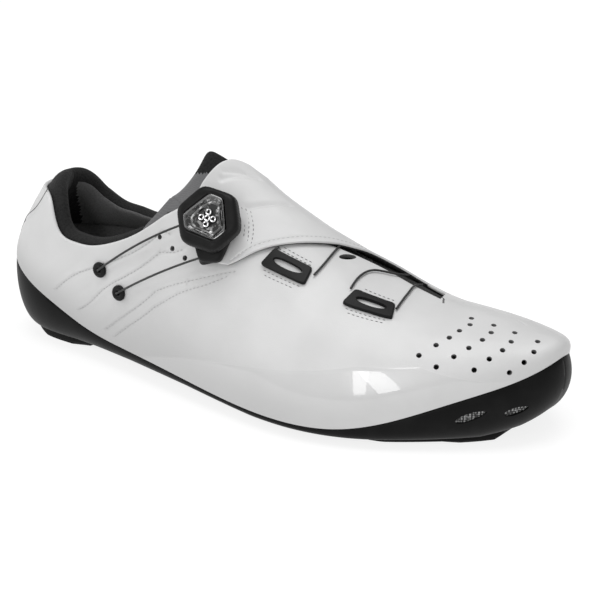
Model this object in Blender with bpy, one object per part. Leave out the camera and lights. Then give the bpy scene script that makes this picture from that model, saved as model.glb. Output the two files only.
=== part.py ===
# Cycling shoe for the right foot: a hollow upper lofted over the form of the last, closed by a flap
# that wraps over the instep and carries a lace dial, on a thin stiff sole with heel and toe pads.
# Metres, +Z up, +X heel to toe, the outer side of the foot at -Y. Built heel first, then set with
# the middle of its floor rectangle at the origin.

import math

import bmesh
import bpy
import numpy as np
from mathutils import Matrix, Vector

# Driving sizes of the last
LENGTH = 0.280
BALL_WIDTH = 0.104
INSTEP_HEIGHT = 0.100
HEEL_HEIGHT = 0.075
SOLE_RISE = 0.038

# Walls and clearances
GAP = 0.0003
UPPER_WALL = 0.0018
FLAP_WALL = 0.0018
SOLE_WALL = 0.0020
INSOLE_THICK = 0.0025
TONGUE_THICK = 0.0042
TONGUE_CLEARANCE = 0.0006
PADDING_THICK = 0.0048
PADDING_STAND = 0.0060
PADDING_SETTLE = 0.70
PADDING_SETTLE_START = 0.02
PADDING_SETTLE_RUN = 0.12

# Floor of the sole and its pads
FLOOR_HEIGHT = 0.0036
PAD_CHAMFER = 0.0012
BOLT_RADIUS = 0.0026
BOLT_SPREAD = 0.0360
BOLT_REACH = 0.0260

# Lace dial, its eyelets, guides and wires
DIAL_RADIUS = 0.0138
DIAL_HEIGHT = 0.0072
BASE_RADIUS = 0.0118
BASE_HEIGHT = 0.0050
HUB_RADIUS = 0.0048
HUB_HEIGHT = 0.0014
WINDOW_RADIUS = 0.0088
WINDOW_DEPTH = 0.0022
DIAL_SIDES = 36
KNOB_CORNERS = 6
KNOB_SWELL = 0.02
WINDOW_CORNERS = 3
WINDOW_SWELL = 0.10
WINDOW_DRAFT = 0.94
PORT_LENGTH = 0.0070
PORT_POWER = 6
PORT_RISE = 0.85
PORT_UPPER = math.radians(188)
PORT_LOWER = math.radians(256)
EYELET_RADIUS = 0.0035
EYELET_HOLE = 0.0013
EYELET_HEIGHT = 0.0012
GUIDE_LENGTH = 0.0200
GUIDE_WIDTH = 0.0082
GUIDE_HEIGHT = 0.0016
GUIDE_CORNER = 0.28
GUIDE_SIDES = 24
EYELET_SIDES = 16
SLOT_LENGTH = 0.0140
SLOT_WIDTH = 0.0030
WIRE_RADIUS = 0.0005
WIRE_PITCH = 6.0
WIRE_LIE = 2.2

# Outline where upper and sole meet, from the heel round the outer side, the toe and back:
# x as a share of LENGTH, y as a share of BALL_WIDTH
OUTLINE = [
    (0.002, 0.00), (0.022, -0.150), (0.075, -0.235), (0.160, -0.265), (0.270, -0.320), (0.390, -0.395),
    (0.510, -0.465), (0.630, -0.510), (0.735, -0.465), (0.830, -0.340), (0.910, -0.200), (0.962, -0.070),
    (0.985, 0.080),
    (0.973, 0.205), (0.930, 0.325), (0.860, 0.420), (0.755, 0.465), (0.640, 0.450), (0.520, 0.370),
    (0.390, 0.300), (0.270, 0.280), (0.160, 0.275), (0.075, 0.235), (0.022, 0.150),
]
TOE_ROW = 12

# Height of that line: station from heel 0 to toe 1, then shares of SOLE_RISE on the outer and inner side
EDGE = [
    (0.00, 1.00, 1.00), (0.05, 0.96, 0.95), (0.10, 0.80, 0.82), (0.15, 0.62, 0.68), (0.20, 0.45, 0.58),
    (0.30, 0.33, 0.53), (0.40, 0.275, 0.53), (0.50, 0.21, 0.37), (0.60, 0.185, 0.26), (0.68, 0.21, 0.26),
    (0.76, 0.355, 0.34), (0.84, 0.58, 0.55), (0.92, 0.80, 0.79), (1.00, 1.00, 1.00),
]

# Crest from the shin to the toe: station, x share of LENGTH, y share of BALL_WIDTH, z share of INSTEP_HEIGHT
CREST = [
    (0.36, 0.345, 0.000, 1.370), (0.42, 0.410, -0.010, 1.080), (0.50, 0.500, -0.010, 0.860),
    (0.60, 0.615, 0.010, 0.672), (0.70, 0.715, 0.030, 0.570), (0.80, 0.800, 0.050, 0.520),
    (0.90, 0.870, 0.065, 0.495), (1.00, 0.915, 0.075, 0.475),
]

# Loop above the ankle that the heel and quarters run up to, inner side first: same columns as the crest
ANKLE = [
    (-0.36, 0.345, 0.00, 1.37), (-0.27, 0.300, 0.22, 1.28), (-0.18, 0.225, 0.26, 1.15),
    (-0.08, 0.158, 0.175, 1.04), (0.00, 0.125, 0.00, 1.00), (0.08, 0.158, -0.175, 1.04),
    (0.18, 0.225, -0.26, 1.15), (0.27, 0.300, -0.22, 1.28), (0.36, 0.345, 0.00, 1.37),
]
ANKLE_STATION = 0.36

# Fullness of each section: station, then how far the curve leaves the edge outward (share of BALL_WIDTH)
# and upward (share of INSTEP_HEIGHT), and how far it meets the crest outward and below it (same shares)
OUTER_SECTION = [
    (0.00, 0.00, 0.12, 0.20, 0.25), (0.08, 0.01, 0.14, 0.12, 0.28), (0.20, 0.03, 0.20, 0.03, 0.40),
    (0.30, 0.03, 0.32, 0.04, 0.40), (0.38, 0.03, 0.34, 0.115, 0.10), (0.48, 0.04, 0.30, 0.19, 0.02),
    (0.60, 0.06, 0.26, 0.29, 0.00), (0.72, 0.05, 0.24, 0.31, 0.00), (0.84, 0.03, 0.18, 0.27, 0.00),
    (1.00, 0.02, 0.10, 0.16, 0.00),
]
INNER_SECTION = [
    (0.00, 0.00, 0.12, 0.20, 0.25), (0.08, 0.01, 0.14, 0.12, 0.28), (0.20, 0.03, 0.20, 0.03, 0.40),
    (0.30, 0.03, 0.32, 0.04, 0.40), (0.38, 0.03, 0.34, 0.115, 0.10), (0.48, 0.04, 0.30, 0.19, 0.02),
    (0.60, 0.06, 0.24, 0.25, 0.01), (0.72, 0.05, 0.22, 0.21, 0.03), (0.84, 0.03, 0.16, 0.19, 0.01),
    (1.00, 0.02, 0.10, 0.17, 0.00),
]

# Height of the collar rim: station, share of HEEL_HEIGHT on the outer and inner side
COLLAR = [
    (0.00, 0.97, 0.97), (0.04, 0.99, 0.94), (0.08, 0.97, 0.87), (0.11, 0.88, 0.80), (0.14, 0.775, 0.745),
    (0.17, 0.745, 0.725), (0.20, 0.745, 0.705), (0.25, 0.80, 0.735), (0.30, 0.885, 0.83), (0.35, 1.00, 0.98),
    (0.39, 1.10, 1.09), (0.42, 1.19, 1.18),
]
COLLAR_END = 0.42

# Edges of the throat slit as places across the foot, from -1 at the outer edge over 0 at the crest to 1:
# station, edge of the outer quarter, edge of the inner quarter where the flap joins it
THROAT = [
    (0.42, -0.30, 0.34), (0.47, -0.25, 0.38), (0.52, -0.16, 0.385), (0.57, -0.06, 0.37), (0.62, 0.035, 0.34),
    (0.67, 0.065, 0.28), (0.71, 0.060, 0.20), (0.745, 0.045, 0.12), (0.777, 0.00, 0.00),
]
SLIT_END = 0.777
FLAP_END = 0.745

# Rear and front edge of the flap from its outer tip to the seam: share of the way, station, place across
FLAP_REAR = [
    (0.00, 0.447, -0.525), (0.12, 0.418, -0.430), (0.28, 0.420, -0.290), (0.50, 0.443, -0.115),
    (0.65, 0.452, 0.00), (0.82, 0.443, 0.170), (1.00, 0.420, 0.340),
]
FLAP_FRONT = [
    (0.00, 0.484, -0.478), (0.10, 0.499, -0.408), (0.20, 0.518, -0.320), (0.30, 0.540, -0.230),
    (0.40, 0.558, -0.155), (0.50, 0.578, -0.070), (0.60, 0.596, 0.010), (0.70, 0.612, 0.075),
    (0.80, 0.640, 0.150), (0.90, 0.690, 0.165), (1.00, 0.745, 0.120),
]
FLAP_COLUMNS = 20

# Tongue: share from its middle line to its side, station and place across of its top edge
TONGUE_TOP = [
    (0.00, 0.434, 0.000), (0.25, 0.421, 0.135), (0.50, 0.397, 0.300), (0.70, 0.360, 0.470),
    (0.86, 0.326, 0.505), (1.00, 0.312, 0.560),
]
TONGUE_FOOT = (0.755, 0.25)
TONGUE_ROWS = [0, 0.025, 0.06, 0.12, 0.20, 0.32, 0.5, 0.66, 0.82, 0.93, 1.0]
TONGUE_COLUMNS = 15
TONGUE_SIDE_START, TONGUE_SIDE_RUN, TONGUE_SIDE_LOSS = 0.55, 0.45, 0.55
TONGUE_SIDE_RISE = 0.75
# Share of the way down the tongue, how deep its outer face lies below its seat, share of its thickness
TONGUE_SECTION = [
    (0.00, 1.25, 0.45), (0.03, 0.80, 1.60), (0.08, 0.45, 1.95), (0.16, 0.25, 1.60), (0.26, 0.08, 1.10),
    (0.50, 0.00, 1.00), (0.90, 0.00, 0.80), (1.00, 0.00, 0.45),
]

# Collar padding: where it ends at each side, its lower height, and its section as shares:
# height from its lower edge to its top, depth of the face behind its seat in thicknesses
PADDING_END = 0.306
PADDING_LOW = 0.60
PADDING_OUTER = [(0.00, 0.00), (0.35, 0.00), (0.70, 0.00), (0.90, 0.06), (1.00, 0.42)]
PADDING_INNER = [(0.02, 0.30), (0.35, 0.70), (0.68, 1.00), (0.88, 1.02), (0.985, 0.72)]

# Sole side: station, floor height as a share of FLOOR_HEIGHT, then bulge of the side and inset of the
# floor's edge as shares of BALL_WIDTH
SOLE_SIDE = [
    (0.00, 1.35, 0.015, 0.085), (0.15, 1.35, 0.012, 0.080), (0.30, 1.55, 0.005, 0.070),
    (0.42, 1.45, 0.004, 0.060), (0.55, 1.00, 0.004, 0.045), (0.70, 1.00, 0.006, 0.035),
    (0.80, 1.00, 0.020, 0.055), (0.88, 1.00, 0.035, 0.085), (0.94, 1.70, 0.045, 0.120),
    (1.00, 2.90, 0.050, 0.140),
]
SOLE_ROWS = (0.0, 0.25, 0.5, 0.75, 1.0)
INSOLE_ROW = 2
FLOOR_SPLITS = (0.25, 0.5, 0.75)

# Pads under the floor: stations from rear to front, and the height of the underside as a share of the floor's
HEEL_PAD = [(0.07, 0.45), (0.10, 0.0), (0.13, 0.0), (0.16, 0.0), (0.20, 0.45)]
TOE_PAD = [
    (0.727, 0.60), (0.745, 0.25), (0.777, 0.25), (0.80, 0.25), (0.825, 0.25), (0.85, 0.0), (0.875, 0.0),
    (0.90, 0.0), (0.92, 0.55),
]
PAD_INSET = 0.015
BOLT_SIDES = 16

# Vents in the outer side of the toe: station, share of the way down the side, length, tilt in degrees
VENTS = [(0.865, 0.25, 0.0140, 9.0), (0.926, 0.33, 0.0110, 0.0)]
VENT_HEIGHT = 0.0030
VENT_SIDES = 16
CUTTER_REACH = 2.0

# Places on the form: station and place across
DIAL_SEAT = (0.448, -0.385)
DIAL_TURN = math.radians(38)
EYELET_UPPER = (0.238, -0.635)
EYELET_LOWER = (0.285, -0.740)
GUIDE_REAR = (0.563, -0.305)
GUIDE_FRONT = (0.690, -0.252)
GUIDE_REAR_TURN = math.radians(9)
GUIDE_FRONT_TURN = math.radians(6)

# Bolt holes for a cleat under the ball: x share of LENGTH of their middle, y share of BALL_WIDTH
BOLT_MIDDLE = (0.690, -0.020)

# Routes of the wires: station, place across, height over the form in wire radii
ROUTE_REAR_LEFT = [(0.5345, -0.272, WIRE_LIE), (0.5365, -0.262, WIRE_LIE), (0.5385, -0.252, WIRE_LIE)]
ROUTE_REAR_RIGHT = [
    (0.598, -0.250, WIRE_LIE), (0.599, -0.170, WIRE_LIE), (0.598, -0.090, WIRE_LIE), (0.595, -0.012, WIRE_LIE),
]
ROUTE_FRONT_LEFT = [
    (0.651, -0.195, WIRE_LIE), (0.649, -0.140, WIRE_LIE), (0.650, -0.080, WIRE_LIE), (0.655, -0.030, WIRE_LIE),
    (0.668, 0.010, WIRE_LIE), (0.690, 0.030, WIRE_LIE), (0.708, 0.050, WIRE_LIE), (0.715, 0.090, WIRE_LIE),
    (0.718, 0.120, WIRE_LIE),
]
ROUTE_FRONT_RIGHT = [
    (0.731, -0.205, WIRE_LIE), (0.730, -0.130, WIRE_LIE), (0.727, -0.050, WIRE_LIE), (0.724, 0.020, WIRE_LIE),
    (0.727, 0.085, WIRE_LIE),
]

# Where the heel's section turns into the instep's, and where the toe's sections swing forward
INSTEP_START, INSTEP_RUN = 0.22, 0.16
TOE_SWING_START, TOE_SWING_RUN = 0.72, 0.28

# Knob from its lower rim to the floor of its window: share of its radius, share of its height
KNOB_WALL = [(0.97, 0.00), (1.00, 0.15), (0.99, 0.65), (0.86, 1.00)]
# Housing's sides above the form: share of its height, share of its outline
HOUSING_WALL = [(0.35, 1.00), (1.00, 0.98)]
HOUSING_FOOT = (0.04, 0.35, 0.68, 0.96)
# Hub: share of its radius, share of its height
HUB_WALL = [(1.00, 0.00), (1.00, 0.60), (0.80, 1.00)]
HUB_SIDES = 20
# Eyelet from its outer foot over its top into its hole: radius, share of its height
EYELET_WALL = [
    (EYELET_RADIUS, 0.0), (EYELET_RADIUS, 0.5), (EYELET_RADIUS * 0.75, 1.0), (EYELET_HOLE, 1.0), (EYELET_HOLE, 0.0),
]

# Columns of the form from heel to toe
HEEL_STATIONS = [0.0, 0.02, 0.045, 0.07, 0.10, 0.13, 0.16, 0.20, 0.24, 0.28, 0.32, 0.36, 0.39]
THROAT_STEPS = 10
TOE_STATIONS = [0.761, 0.777, 0.80, 0.825, 0.85, 0.875, 0.90, 0.92, 0.94, 0.96, 0.98, 1.0]
UPPER_ROWS = 9
STEP = 0.0015


def spline(rows, at, closed=False):
    """Cubic spline through rows of a station and its values, natural or running round."""
    rows = np.asarray(rows, float)
    stations, values = rows[:, 0], rows[:, 1:]
    count = len(stations)
    span = np.diff(stations)
    size = count - 1 if closed else count
    matrix = np.zeros((size, size))
    right = np.zeros((size, values.shape[1]))
    for i in range(size):
        if not closed and i in (0, size - 1):
            matrix[i, i] = 1.0
            continue
        before, after = (i - 1) % size, (i + 1) % size
        last, this = span[before] if closed else span[i - 1], span[i]
        matrix[i, before] += last
        matrix[i, i] += 2 * (last + this)
        matrix[i, after] += this
        right[i] = 6 * ((values[i + 1] - values[i]) / this - (values[i] - values[before]) / last)
    bend = np.linalg.solve(matrix, right)
    if closed:
        bend = np.concatenate([bend, bend[:1]])
    at = np.clip(np.asarray(at, float), stations[0], stations[-1])
    j = np.clip(np.searchsorted(stations, at, side="right") - 1, 0, count - 2)
    ahead, behind, wide = (stations[j + 1] - at)[..., None], (at - stations[j])[..., None], span[j][..., None]
    curve = (bend[j] * ahead**3 + bend[j + 1] * behind**3) / (6 * wide)
    curve += (values[j] / wide - bend[j] * wide / 6) * ahead
    curve += (values[j + 1] / wide - bend[j + 1] * wide / 6) * behind
    return curve


def straight(rows, at):
    """Straight runs between rows, so that a level stretch stays level."""
    rows = np.asarray(rows, float)
    return np.stack([np.interp(at, rows[:, 0], rows[:, k]) for k in range(1, rows.shape[1])], axis=-1)


def smooth(share):
    share = np.clip(share, 0.0, 1.0)
    return share * share * (3 - 2 * share)


def unit(vectors):
    return vectors / np.maximum(np.linalg.norm(vectors, axis=-1, keepdims=True), 1e-12)


def outline(ring):
    """Point of the outline and its outward normal; ring runs 0 heel, 1 toe, 2 heel again."""
    points = np.array([(x * LENGTH, y * BALL_WIDTH) for x, y in OUTLINE + OUTLINE[:1]])
    length = np.concatenate([[0.0], np.cumsum(np.linalg.norm(np.diff(points, axis=0), axis=1))])
    outer = length[:TOE_ROW + 1] / length[TOE_ROW]
    inner = 1 + (length[TOE_ROW + 1:] - length[TOE_ROW]) / (length[-1] - length[TOE_ROW])
    along = np.interp(np.asarray(ring, float) % 2.0, np.concatenate([outer, inner]), length)
    rows = np.column_stack([length, points])
    nudge = LENGTH * 1e-4
    ahead = spline(rows, (along + nudge) % length[-1], closed=True)
    behind = spline(rows, (along - nudge) % length[-1], closed=True)
    tangent = unit(ahead - behind)
    normal = np.stack([tangent[..., 1], -tangent[..., 0]], axis=-1)
    return spline(rows, along, closed=True), normal


def edge_line(s, side):
    """Line where upper and sole meet, and its level outward normal."""
    point, normal = outline(np.where(side < 0, s, 2.0 - s))
    rise = spline(EDGE, s) * SOLE_RISE
    height = np.where(side < 0, rise[..., 0], rise[..., 1])
    level = np.concatenate([normal, np.zeros(normal.shape[:-1] + (1,))], axis=-1)
    return np.concatenate([point, height[..., None]], axis=-1), level


def form(s, g):
    """Surface of the last: s from heel 0 to toe 1, g from the outer edge -1 over the crest 0 to 1."""
    s, g = np.broadcast_arrays(np.asarray(s, float), np.asarray(g, float))
    side = np.where(g > 0, 1.0, -1.0)
    scale = np.array([LENGTH, BALL_WIDTH, INSTEP_HEIGHT])
    low, level = edge_line(s, side)
    crest = spline(CREST, np.clip(s, ANKLE_STATION, 1.0)) * scale
    ankle = spline(ANKLE, -side * np.clip(s, 0.0, ANKLE_STATION)) * scale
    high = np.where((s >= ANKLE_STATION)[..., None], crest, ankle)
    section = np.where((side < 0)[..., None], spline(OUTER_SECTION, s), spline(INNER_SECTION, s))
    inside = np.clip(s, ANKLE_STATION + STEP, 1.0 - STEP)
    run = (spline(CREST, inside + STEP) - spline(CREST, inside - STEP)) * scale
    slope = run[..., 2] / run[..., 0]
    swing = smooth((s - TOE_SWING_START) / TOE_SWING_RUN) * math.pi / 2
    across = np.stack([np.sin(swing), side * np.cos(swing), slope * np.sin(swing)], axis=-1)
    blend = smooth((s - INSTEP_START) / INSTEP_RUN)[..., None]
    shoulder = level * (1 - blend) + across * blend
    up = np.array([0.0, 0.0, 1.0])
    first = low + level * section[..., 0:1] * BALL_WIDTH + up * section[..., 1:2] * INSTEP_HEIGHT
    second = high + shoulder * section[..., 2:3] * BALL_WIDTH - up * section[..., 3:4] * INSTEP_HEIGHT
    v = (1 - np.abs(g))[..., None]
    return (1 - v)**3 * low + 3 * (1 - v)**2 * v * first + 3 * (1 - v) * v**2 * second + v**3 * high


def form_normal(s, g):
    """Outward normal of the form from two short steps over it."""
    s, g = np.broadcast_arrays(np.asarray(s, float), np.asarray(g, float))
    along = form(np.clip(s + STEP, 0, 1), g) - form(np.clip(s - STEP, 0, 1), g)
    over = form(s, np.clip(g + STEP, -1, 1)) - form(s, np.clip(g - STEP, -1, 1))
    return unit(np.cross(along, over))


def place_at_height(s, side, height):
    """Place across the form where its section at s reaches the height."""
    tries = np.linspace(0.0, 0.85, 120)
    heights = form(s, side * (1 - tries))[:, 2]
    return side * (1 - np.interp(height, heights, tries))


def quarter_edge(s, side):
    """Upper edge of a quarter: collar rim, then throat slit, then the crest."""
    if s >= SLIT_END:
        return 0.0
    if s >= COLLAR_END:
        row = spline(THROAT, np.array(s))
        return float(row[0] if side < 0 else row[1])
    rim = spline(COLLAR, np.array(s)) * HEEL_HEIGHT
    return float(place_at_height(s, side, rim[0] if side < 0 else rim[1]))


def stations():
    throat = np.linspace(COLLAR_END, FLAP_END, THROAT_STEPS + 1)
    return np.concatenate([HEEL_STATIONS, throat, TOE_STATIONS])


def strip_faces(first, second):
    """Triangles between two rows of vertex numbers, none where two of its numbers are the same."""
    faces = []
    for k in range(len(first) - 1):
        faces.append([first[k], first[k + 1], second[k + 1]])
        faces.append([first[k], second[k + 1], second[k]])
    return [face for face in faces if len(set(face)) > 2]


def vertex_normals(points, faces):
    """Normals of a sheet's vertices, each face weighted by its area."""
    total = np.zeros_like(points)
    for face in faces:
        corners = points[face]
        area = np.zeros(3)
        for k in range(1, len(face) - 1):
            area += np.cross(corners[k] - corners[0], corners[k + 1] - corners[0])
        total[face] += area
    return unit(total)


def wall_between(outer, inner, faces):
    """Closed solid between two sheets with the same faces, rimmed along their open edges."""
    count = len(outer)
    seen = {}
    for face in faces:
        for a, b in zip(face, face[1:] + face[:1]):
            seen[(a, b)] = True
    rims = [(a, b) for a, b in seen if (b, a) not in seen]
    solid = list(faces)
    solid += [[count + k for k in reversed(face)] for face in faces]
    solid += [[b, a, a + count, b + count] for a, b in rims]
    return np.concatenate([outer, inner]), solid


def material(name, colour, roughness, metallic=0.0):
    made = bpy.data.materials.new(name)
    made.use_nodes = True
    shader = made.node_tree.nodes["Principled BSDF"]
    shader.inputs["Base Color"].default_value = (*colour, 1.0)
    shader.inputs["Roughness"].default_value = roughness
    shader.inputs["Metallic"].default_value = metallic
    return made


def solid(name, points, faces, look, sharp=math.radians(40)):
    """One named object from points and faces, its faces turned outward and shaded smooth."""
    mesh = bpy.data.meshes.new(name)
    mesh.from_pydata([tuple(point) for point in np.asarray(points)], [], [list(face) for face in faces])
    work = bmesh.new()
    work.from_mesh(mesh)
    bmesh.ops.triangulate(work, faces=[face for face in work.faces if len(face.verts) > 4])
    bmesh.ops.recalc_face_normals(work, faces=work.faces)
    work.to_mesh(mesh)
    work.free()
    mesh.shade_smooth()
    mesh.set_sharp_from_angle(angle=sharp)
    mesh.materials.append(look)
    made = bpy.data.objects.new(name, mesh)
    bpy.context.collection.objects.link(made)
    return made


def upper_sheet():
    """Outer face of the upper: places on the form and the faces between them."""
    columns = stations()
    places = []
    grid = {}
    for side in (-1, 1):
        for j, s in enumerate(columns):
            shared = side > 0 and j in (0, len(columns) - 1)
            top = quarter_edge(s, side)
            for k in range(UPPER_ROWS + 1):
                joined = side > 0 and s >= SLIT_END - 1e-9 and k == UPPER_ROWS
                if shared or joined:
                    grid[side, j, k] = grid[-1, j, k]
                    continue
                grid[side, j, k] = len(places)
                places.append((s, side + (top - side) * k / UPPER_ROWS))
    faces = []
    for side in (-1, 1):
        for j in range(len(columns) - 1):
            this = [grid[side, j, k] for k in range(UPPER_ROWS + 1)]
            ahead = [grid[side, j + 1, k] for k in range(UPPER_ROWS + 1)]
            faces += strip_faces(ahead, this) if side < 0 else strip_faces(this, ahead)
    return np.array(places), faces


def build_upper(look):
    places, faces = upper_sheet()
    outer = form(places[:, 0], places[:, 1])
    normal = vertex_normals(outer, faces)
    if np.mean(np.sum(normal * form_normal(places[:, 0], places[:, 1]), axis=1)) < 0:
        normal = -normal
    hem = np.abs(places[:, 1]) > 1 - 1e-9
    level = edge_line(places[:, 0], np.sign(places[:, 1]))[1]
    normal[hem] = level[hem]
    outer[hem, 2] += GAP
    points, walls = wall_between(outer, outer - normal * UPPER_WALL, faces)
    return solid("upper", points, walls, look)


def flap_place(t, w):
    """Station and place across of a point of the flap: t from its tip to the seam, w rear to front."""
    rear, front = spline(FLAP_REAR, t), spline(FLAP_FRONT, t)
    between = rear + (front - rear) * w[..., None]
    station = COLLAR_END + (FLAP_END - COLLAR_END) * w
    seam = np.stack([station, spline(THROAT, station)[..., 1]], axis=-1)
    follow = smooth((t - 0.55) / 0.45)[..., None]
    seam_start, seam_end = np.array(FLAP_REAR[-1][1:]), np.array(FLAP_FRONT[-1][1:])
    straight_seam = seam_start + (seam_end - seam_start) * w[..., None]
    return between + (seam - straight_seam) * follow


def flap_lift(s, g):
    """Height of the flap's outer face over the form: flush at the seam, over the outer quarter beyond."""
    throat = spline(THROAT, s)
    edge, seam = throat[..., 0] + 0.02, throat[..., 1]
    rise = 1 - smooth((g - edge) / np.maximum(seam - edge, 0.04))
    return (GAP + FLAP_WALL + GAP) * rise


def build_flap(look):
    across, along = np.linspace(0, 1, FLAP_COLUMNS + 1), np.linspace(0, 1, THROAT_STEPS + 1)
    t, w = np.meshgrid(across, along, indexing="ij")
    place = flap_place(t, w)
    s, g = place[..., 0], place[..., 1]
    normal = form_normal(s, g)
    seam = (t > 1 - 1e-9)[..., None]
    face = form(s, g) + normal * flap_lift(s, g)[..., None]
    inward = unit(form(s, g - 0.01) - form(s, g))
    outer = face + np.where(seam, inward * GAP * 1.5, 0.0)
    inner = outer - normal * FLAP_WALL
    number = np.arange(t.size).reshape(t.shape)
    faces = []
    for i in range(FLAP_COLUMNS):
        faces += strip_faces(list(number[i]), list(number[i + 1]))
    points, walls = wall_between(outer.reshape(-1, 3), inner.reshape(-1, 3), faces)
    return solid("wrap_flap", points, walls, look)


def build_tongue(look):
    """Padded tongue under the throat, its top edge free above the quarters."""
    q, p = np.meshgrid(np.linspace(-1, 1, TONGUE_COLUMNS), np.array(TONGUE_ROWS), indexing="ij")
    top = spline(TONGUE_TOP, np.abs(q))
    s = top[..., 0] + (TONGUE_FOOT[0] - top[..., 0]) * p
    start = top[..., 1] * np.sign(q)
    g = start + (TONGUE_FOOT[1] * q - start) * p
    section = spline(TONGUE_SECTION, p)
    thin = 1 - TONGUE_SIDE_LOSS * smooth((np.abs(q) - TONGUE_SIDE_START) / TONGUE_SIDE_RUN)
    normal = form_normal(s, g)
    seat = UPPER_WALL + TONGUE_CLEARANCE + TONGUE_THICK * section[..., 0] * (1 - TONGUE_SIDE_RISE * np.abs(q))
    outer = form(s, g) - normal * seat[..., None]
    inner = outer - normal * (TONGUE_THICK * section[..., 1] * thin)[..., None]
    number = np.arange(q.size).reshape(q.shape)
    faces = []
    for i in range(q.shape[0] - 1):
        faces += strip_faces(list(number[i]), list(number[i + 1]))
    points, walls = wall_between(outer.reshape(-1, 3), inner.reshape(-1, 3), faces)
    return solid("tongue", points, walls, look)


def padding_point(s, side, share, depth):
    """Point of the collar padding at a share of its height and a depth behind the wall's inner face."""
    rim = spline(COLLAR, np.array(s))[0 if side < 0 else 1] * HEEL_HEIGHT
    settled = smooth((s - PADDING_SETTLE_START) / PADDING_SETTLE_RUN)
    stand = PADDING_STAND * (1 - PADDING_SETTLE * settled)
    low = PADDING_LOW * HEEL_HEIGHT
    g = place_at_height(s, side, low + (rim + stand - low) * share)
    normal = form_normal(s, g)
    back = UPPER_WALL + GAP + depth * PADDING_THICK
    return form(s, g) - normal * back


def build_padding(look):
    """Padded band round the inside of the collar, standing a little over the rim."""
    ring = [s for s in HEEL_STATIONS if s < PADDING_END] + [PADDING_END]
    columns = [(s, -1) for s in reversed(ring)] + [(s, 1) for s in ring[1:]]
    section = PADDING_OUTER + PADDING_INNER[::-1]
    points = np.array([padding_point(*column, *place) for column in columns for place in section])
    size = len(section)
    loops = [list(range(j * size, (j + 1) * size)) for j in range(len(columns))]
    faces = [loops[0], loops[-1][::-1]]
    for first, second in zip(loops, loops[1:]):
        faces += strip_faces(first + first[:1], second + second[:1])
    return solid("collar_padding", points, faces, look)


def floor_height(s):
    return straight(SOLE_SIDE, s)[..., 0] * FLOOR_HEIGHT


def sole_point(s, side, w):
    """Outer face of the sole's side, from the edge line at w 0 to the rim of its floor at w 1."""
    row = spline(SOLE_SIDE, s)
    top, level = edge_line(s, side)
    bulge, inset = row[..., 1:2] * BALL_WIDTH, row[..., 2:3] * BALL_WIDTH
    foot = top - level * inset
    foot[..., 2] = floor_height(s)
    drop = (top[..., 2:3] - foot[..., 2:3]) * np.array([0.0, 0.0, 1.0])
    first = top + level * bulge - drop * 0.55
    second = foot + level * (inset * 0.45 + bulge * 0.6)
    w = np.asarray(w, float)[..., None]
    return (1 - w)**3 * top + 3 * (1 - w)**2 * w * first + 3 * (1 - w) * w**2 * second + w**3 * foot


def sole_sheet():
    """Outer face of the sole below its edge line: points, faces and the row that each point lies in."""
    columns = stations()
    last = len(SOLE_ROWS) - 1
    down = list(range(len(SOLE_ROWS)))
    points = []
    depth = []
    line = []
    for j, s in enumerate(columns):
        start = len(points)
        outer = [sole_point(s, np.array(-1.0), w) for w in SOLE_ROWS]
        points += outer
        depth += down
        if j in (0, len(columns) - 1):
            numbers = [start + k for k in down]
            line.append(numbers + [numbers[-1]] * len(FLOOR_SPLITS) + numbers[::-1])
            continue
        inner = [sole_point(s, np.array(1.0), w) for w in SOLE_ROWS]
        points += [outer[-1] * (1 - u) + inner[-1] * u for u in FLOOR_SPLITS] + inner[::-1]
        depth += [last] * len(FLOOR_SPLITS) + down[::-1]
        line.append(list(range(start, len(points))))
    faces = []
    for this, ahead in zip(line, line[1:]):
        faces += strip_faces(this, ahead)
    return np.array(points), faces, np.array(depth)


def sole_walls():
    """The sole's sheet with the inward direction of its wall at each point, level along the edge line."""
    points, faces, depth = sole_sheet()
    normal = inward_normals(points, faces)
    level = unit(normal * np.array([1.0, 1.0, 0.0]))
    normal = np.where((depth == 0)[:, None], level, normal)
    return points, faces, depth, normal


def inward_normals(points, faces):
    normal = vertex_normals(points, faces)
    middle = np.array([LENGTH / 2, 0.0, SOLE_RISE])
    return normal if np.sum(normal * (middle - points)) > 0 else -normal


def build_sole(look):
    """Thin stiff tub: sides up to the edge line, floor with bolt holes, vents in the toe."""
    points, faces, _, normal = sole_walls()
    points, walls = wall_between(points, points + normal * SOLE_WALL, faces)
    sole = solid("sole_chassis", points, walls, look)
    cut_vents(sole)
    cut_bolt_holes(sole)
    return sole


def contour_row(s, inset):
    """Row across the floor at a station, drawn in from both sides of it by a share of its width."""
    outer, inner = sole_point(s, np.array(-1.0), 1.0), sole_point(s, np.array(1.0), 1.0)
    return [outer + (inner - outer) * u for u in (inset, 0.5, 1 - inset)]


def build_pad(name, rows, look):
    """Pad under the floor: its top lies along the floor, its lugs stand on the ground."""
    columns = []
    for s, share in rows:
        top = contour_row(s, PAD_INSET)
        floor = float(floor_height(np.array(s)))
        low = contour_row(s, PAD_INSET)
        low[0] = low[0] + unit(low[2] - low[0]) * PAD_CHAMFER
        low[2] = low[2] - unit(low[2] - low[0]) * PAD_CHAMFER
        upper_row = [(x, y, floor - GAP) for x, y, _ in top]
        lower_row = [(x, y, floor * share) for x, y, _ in low]
        columns.append(upper_row + lower_row[::-1])
    points = np.array([point for column in columns for point in column])
    size = 6
    loops = [list(range(j * size, (j + 1) * size)) for j in range(len(columns))]
    faces = [loops[0], loops[-1][::-1]]
    for first, second in zip(loops, loops[1:]):
        faces += strip_faces(first + first[:1], second + second[:1])
    return solid(name, points, faces, look)


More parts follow.
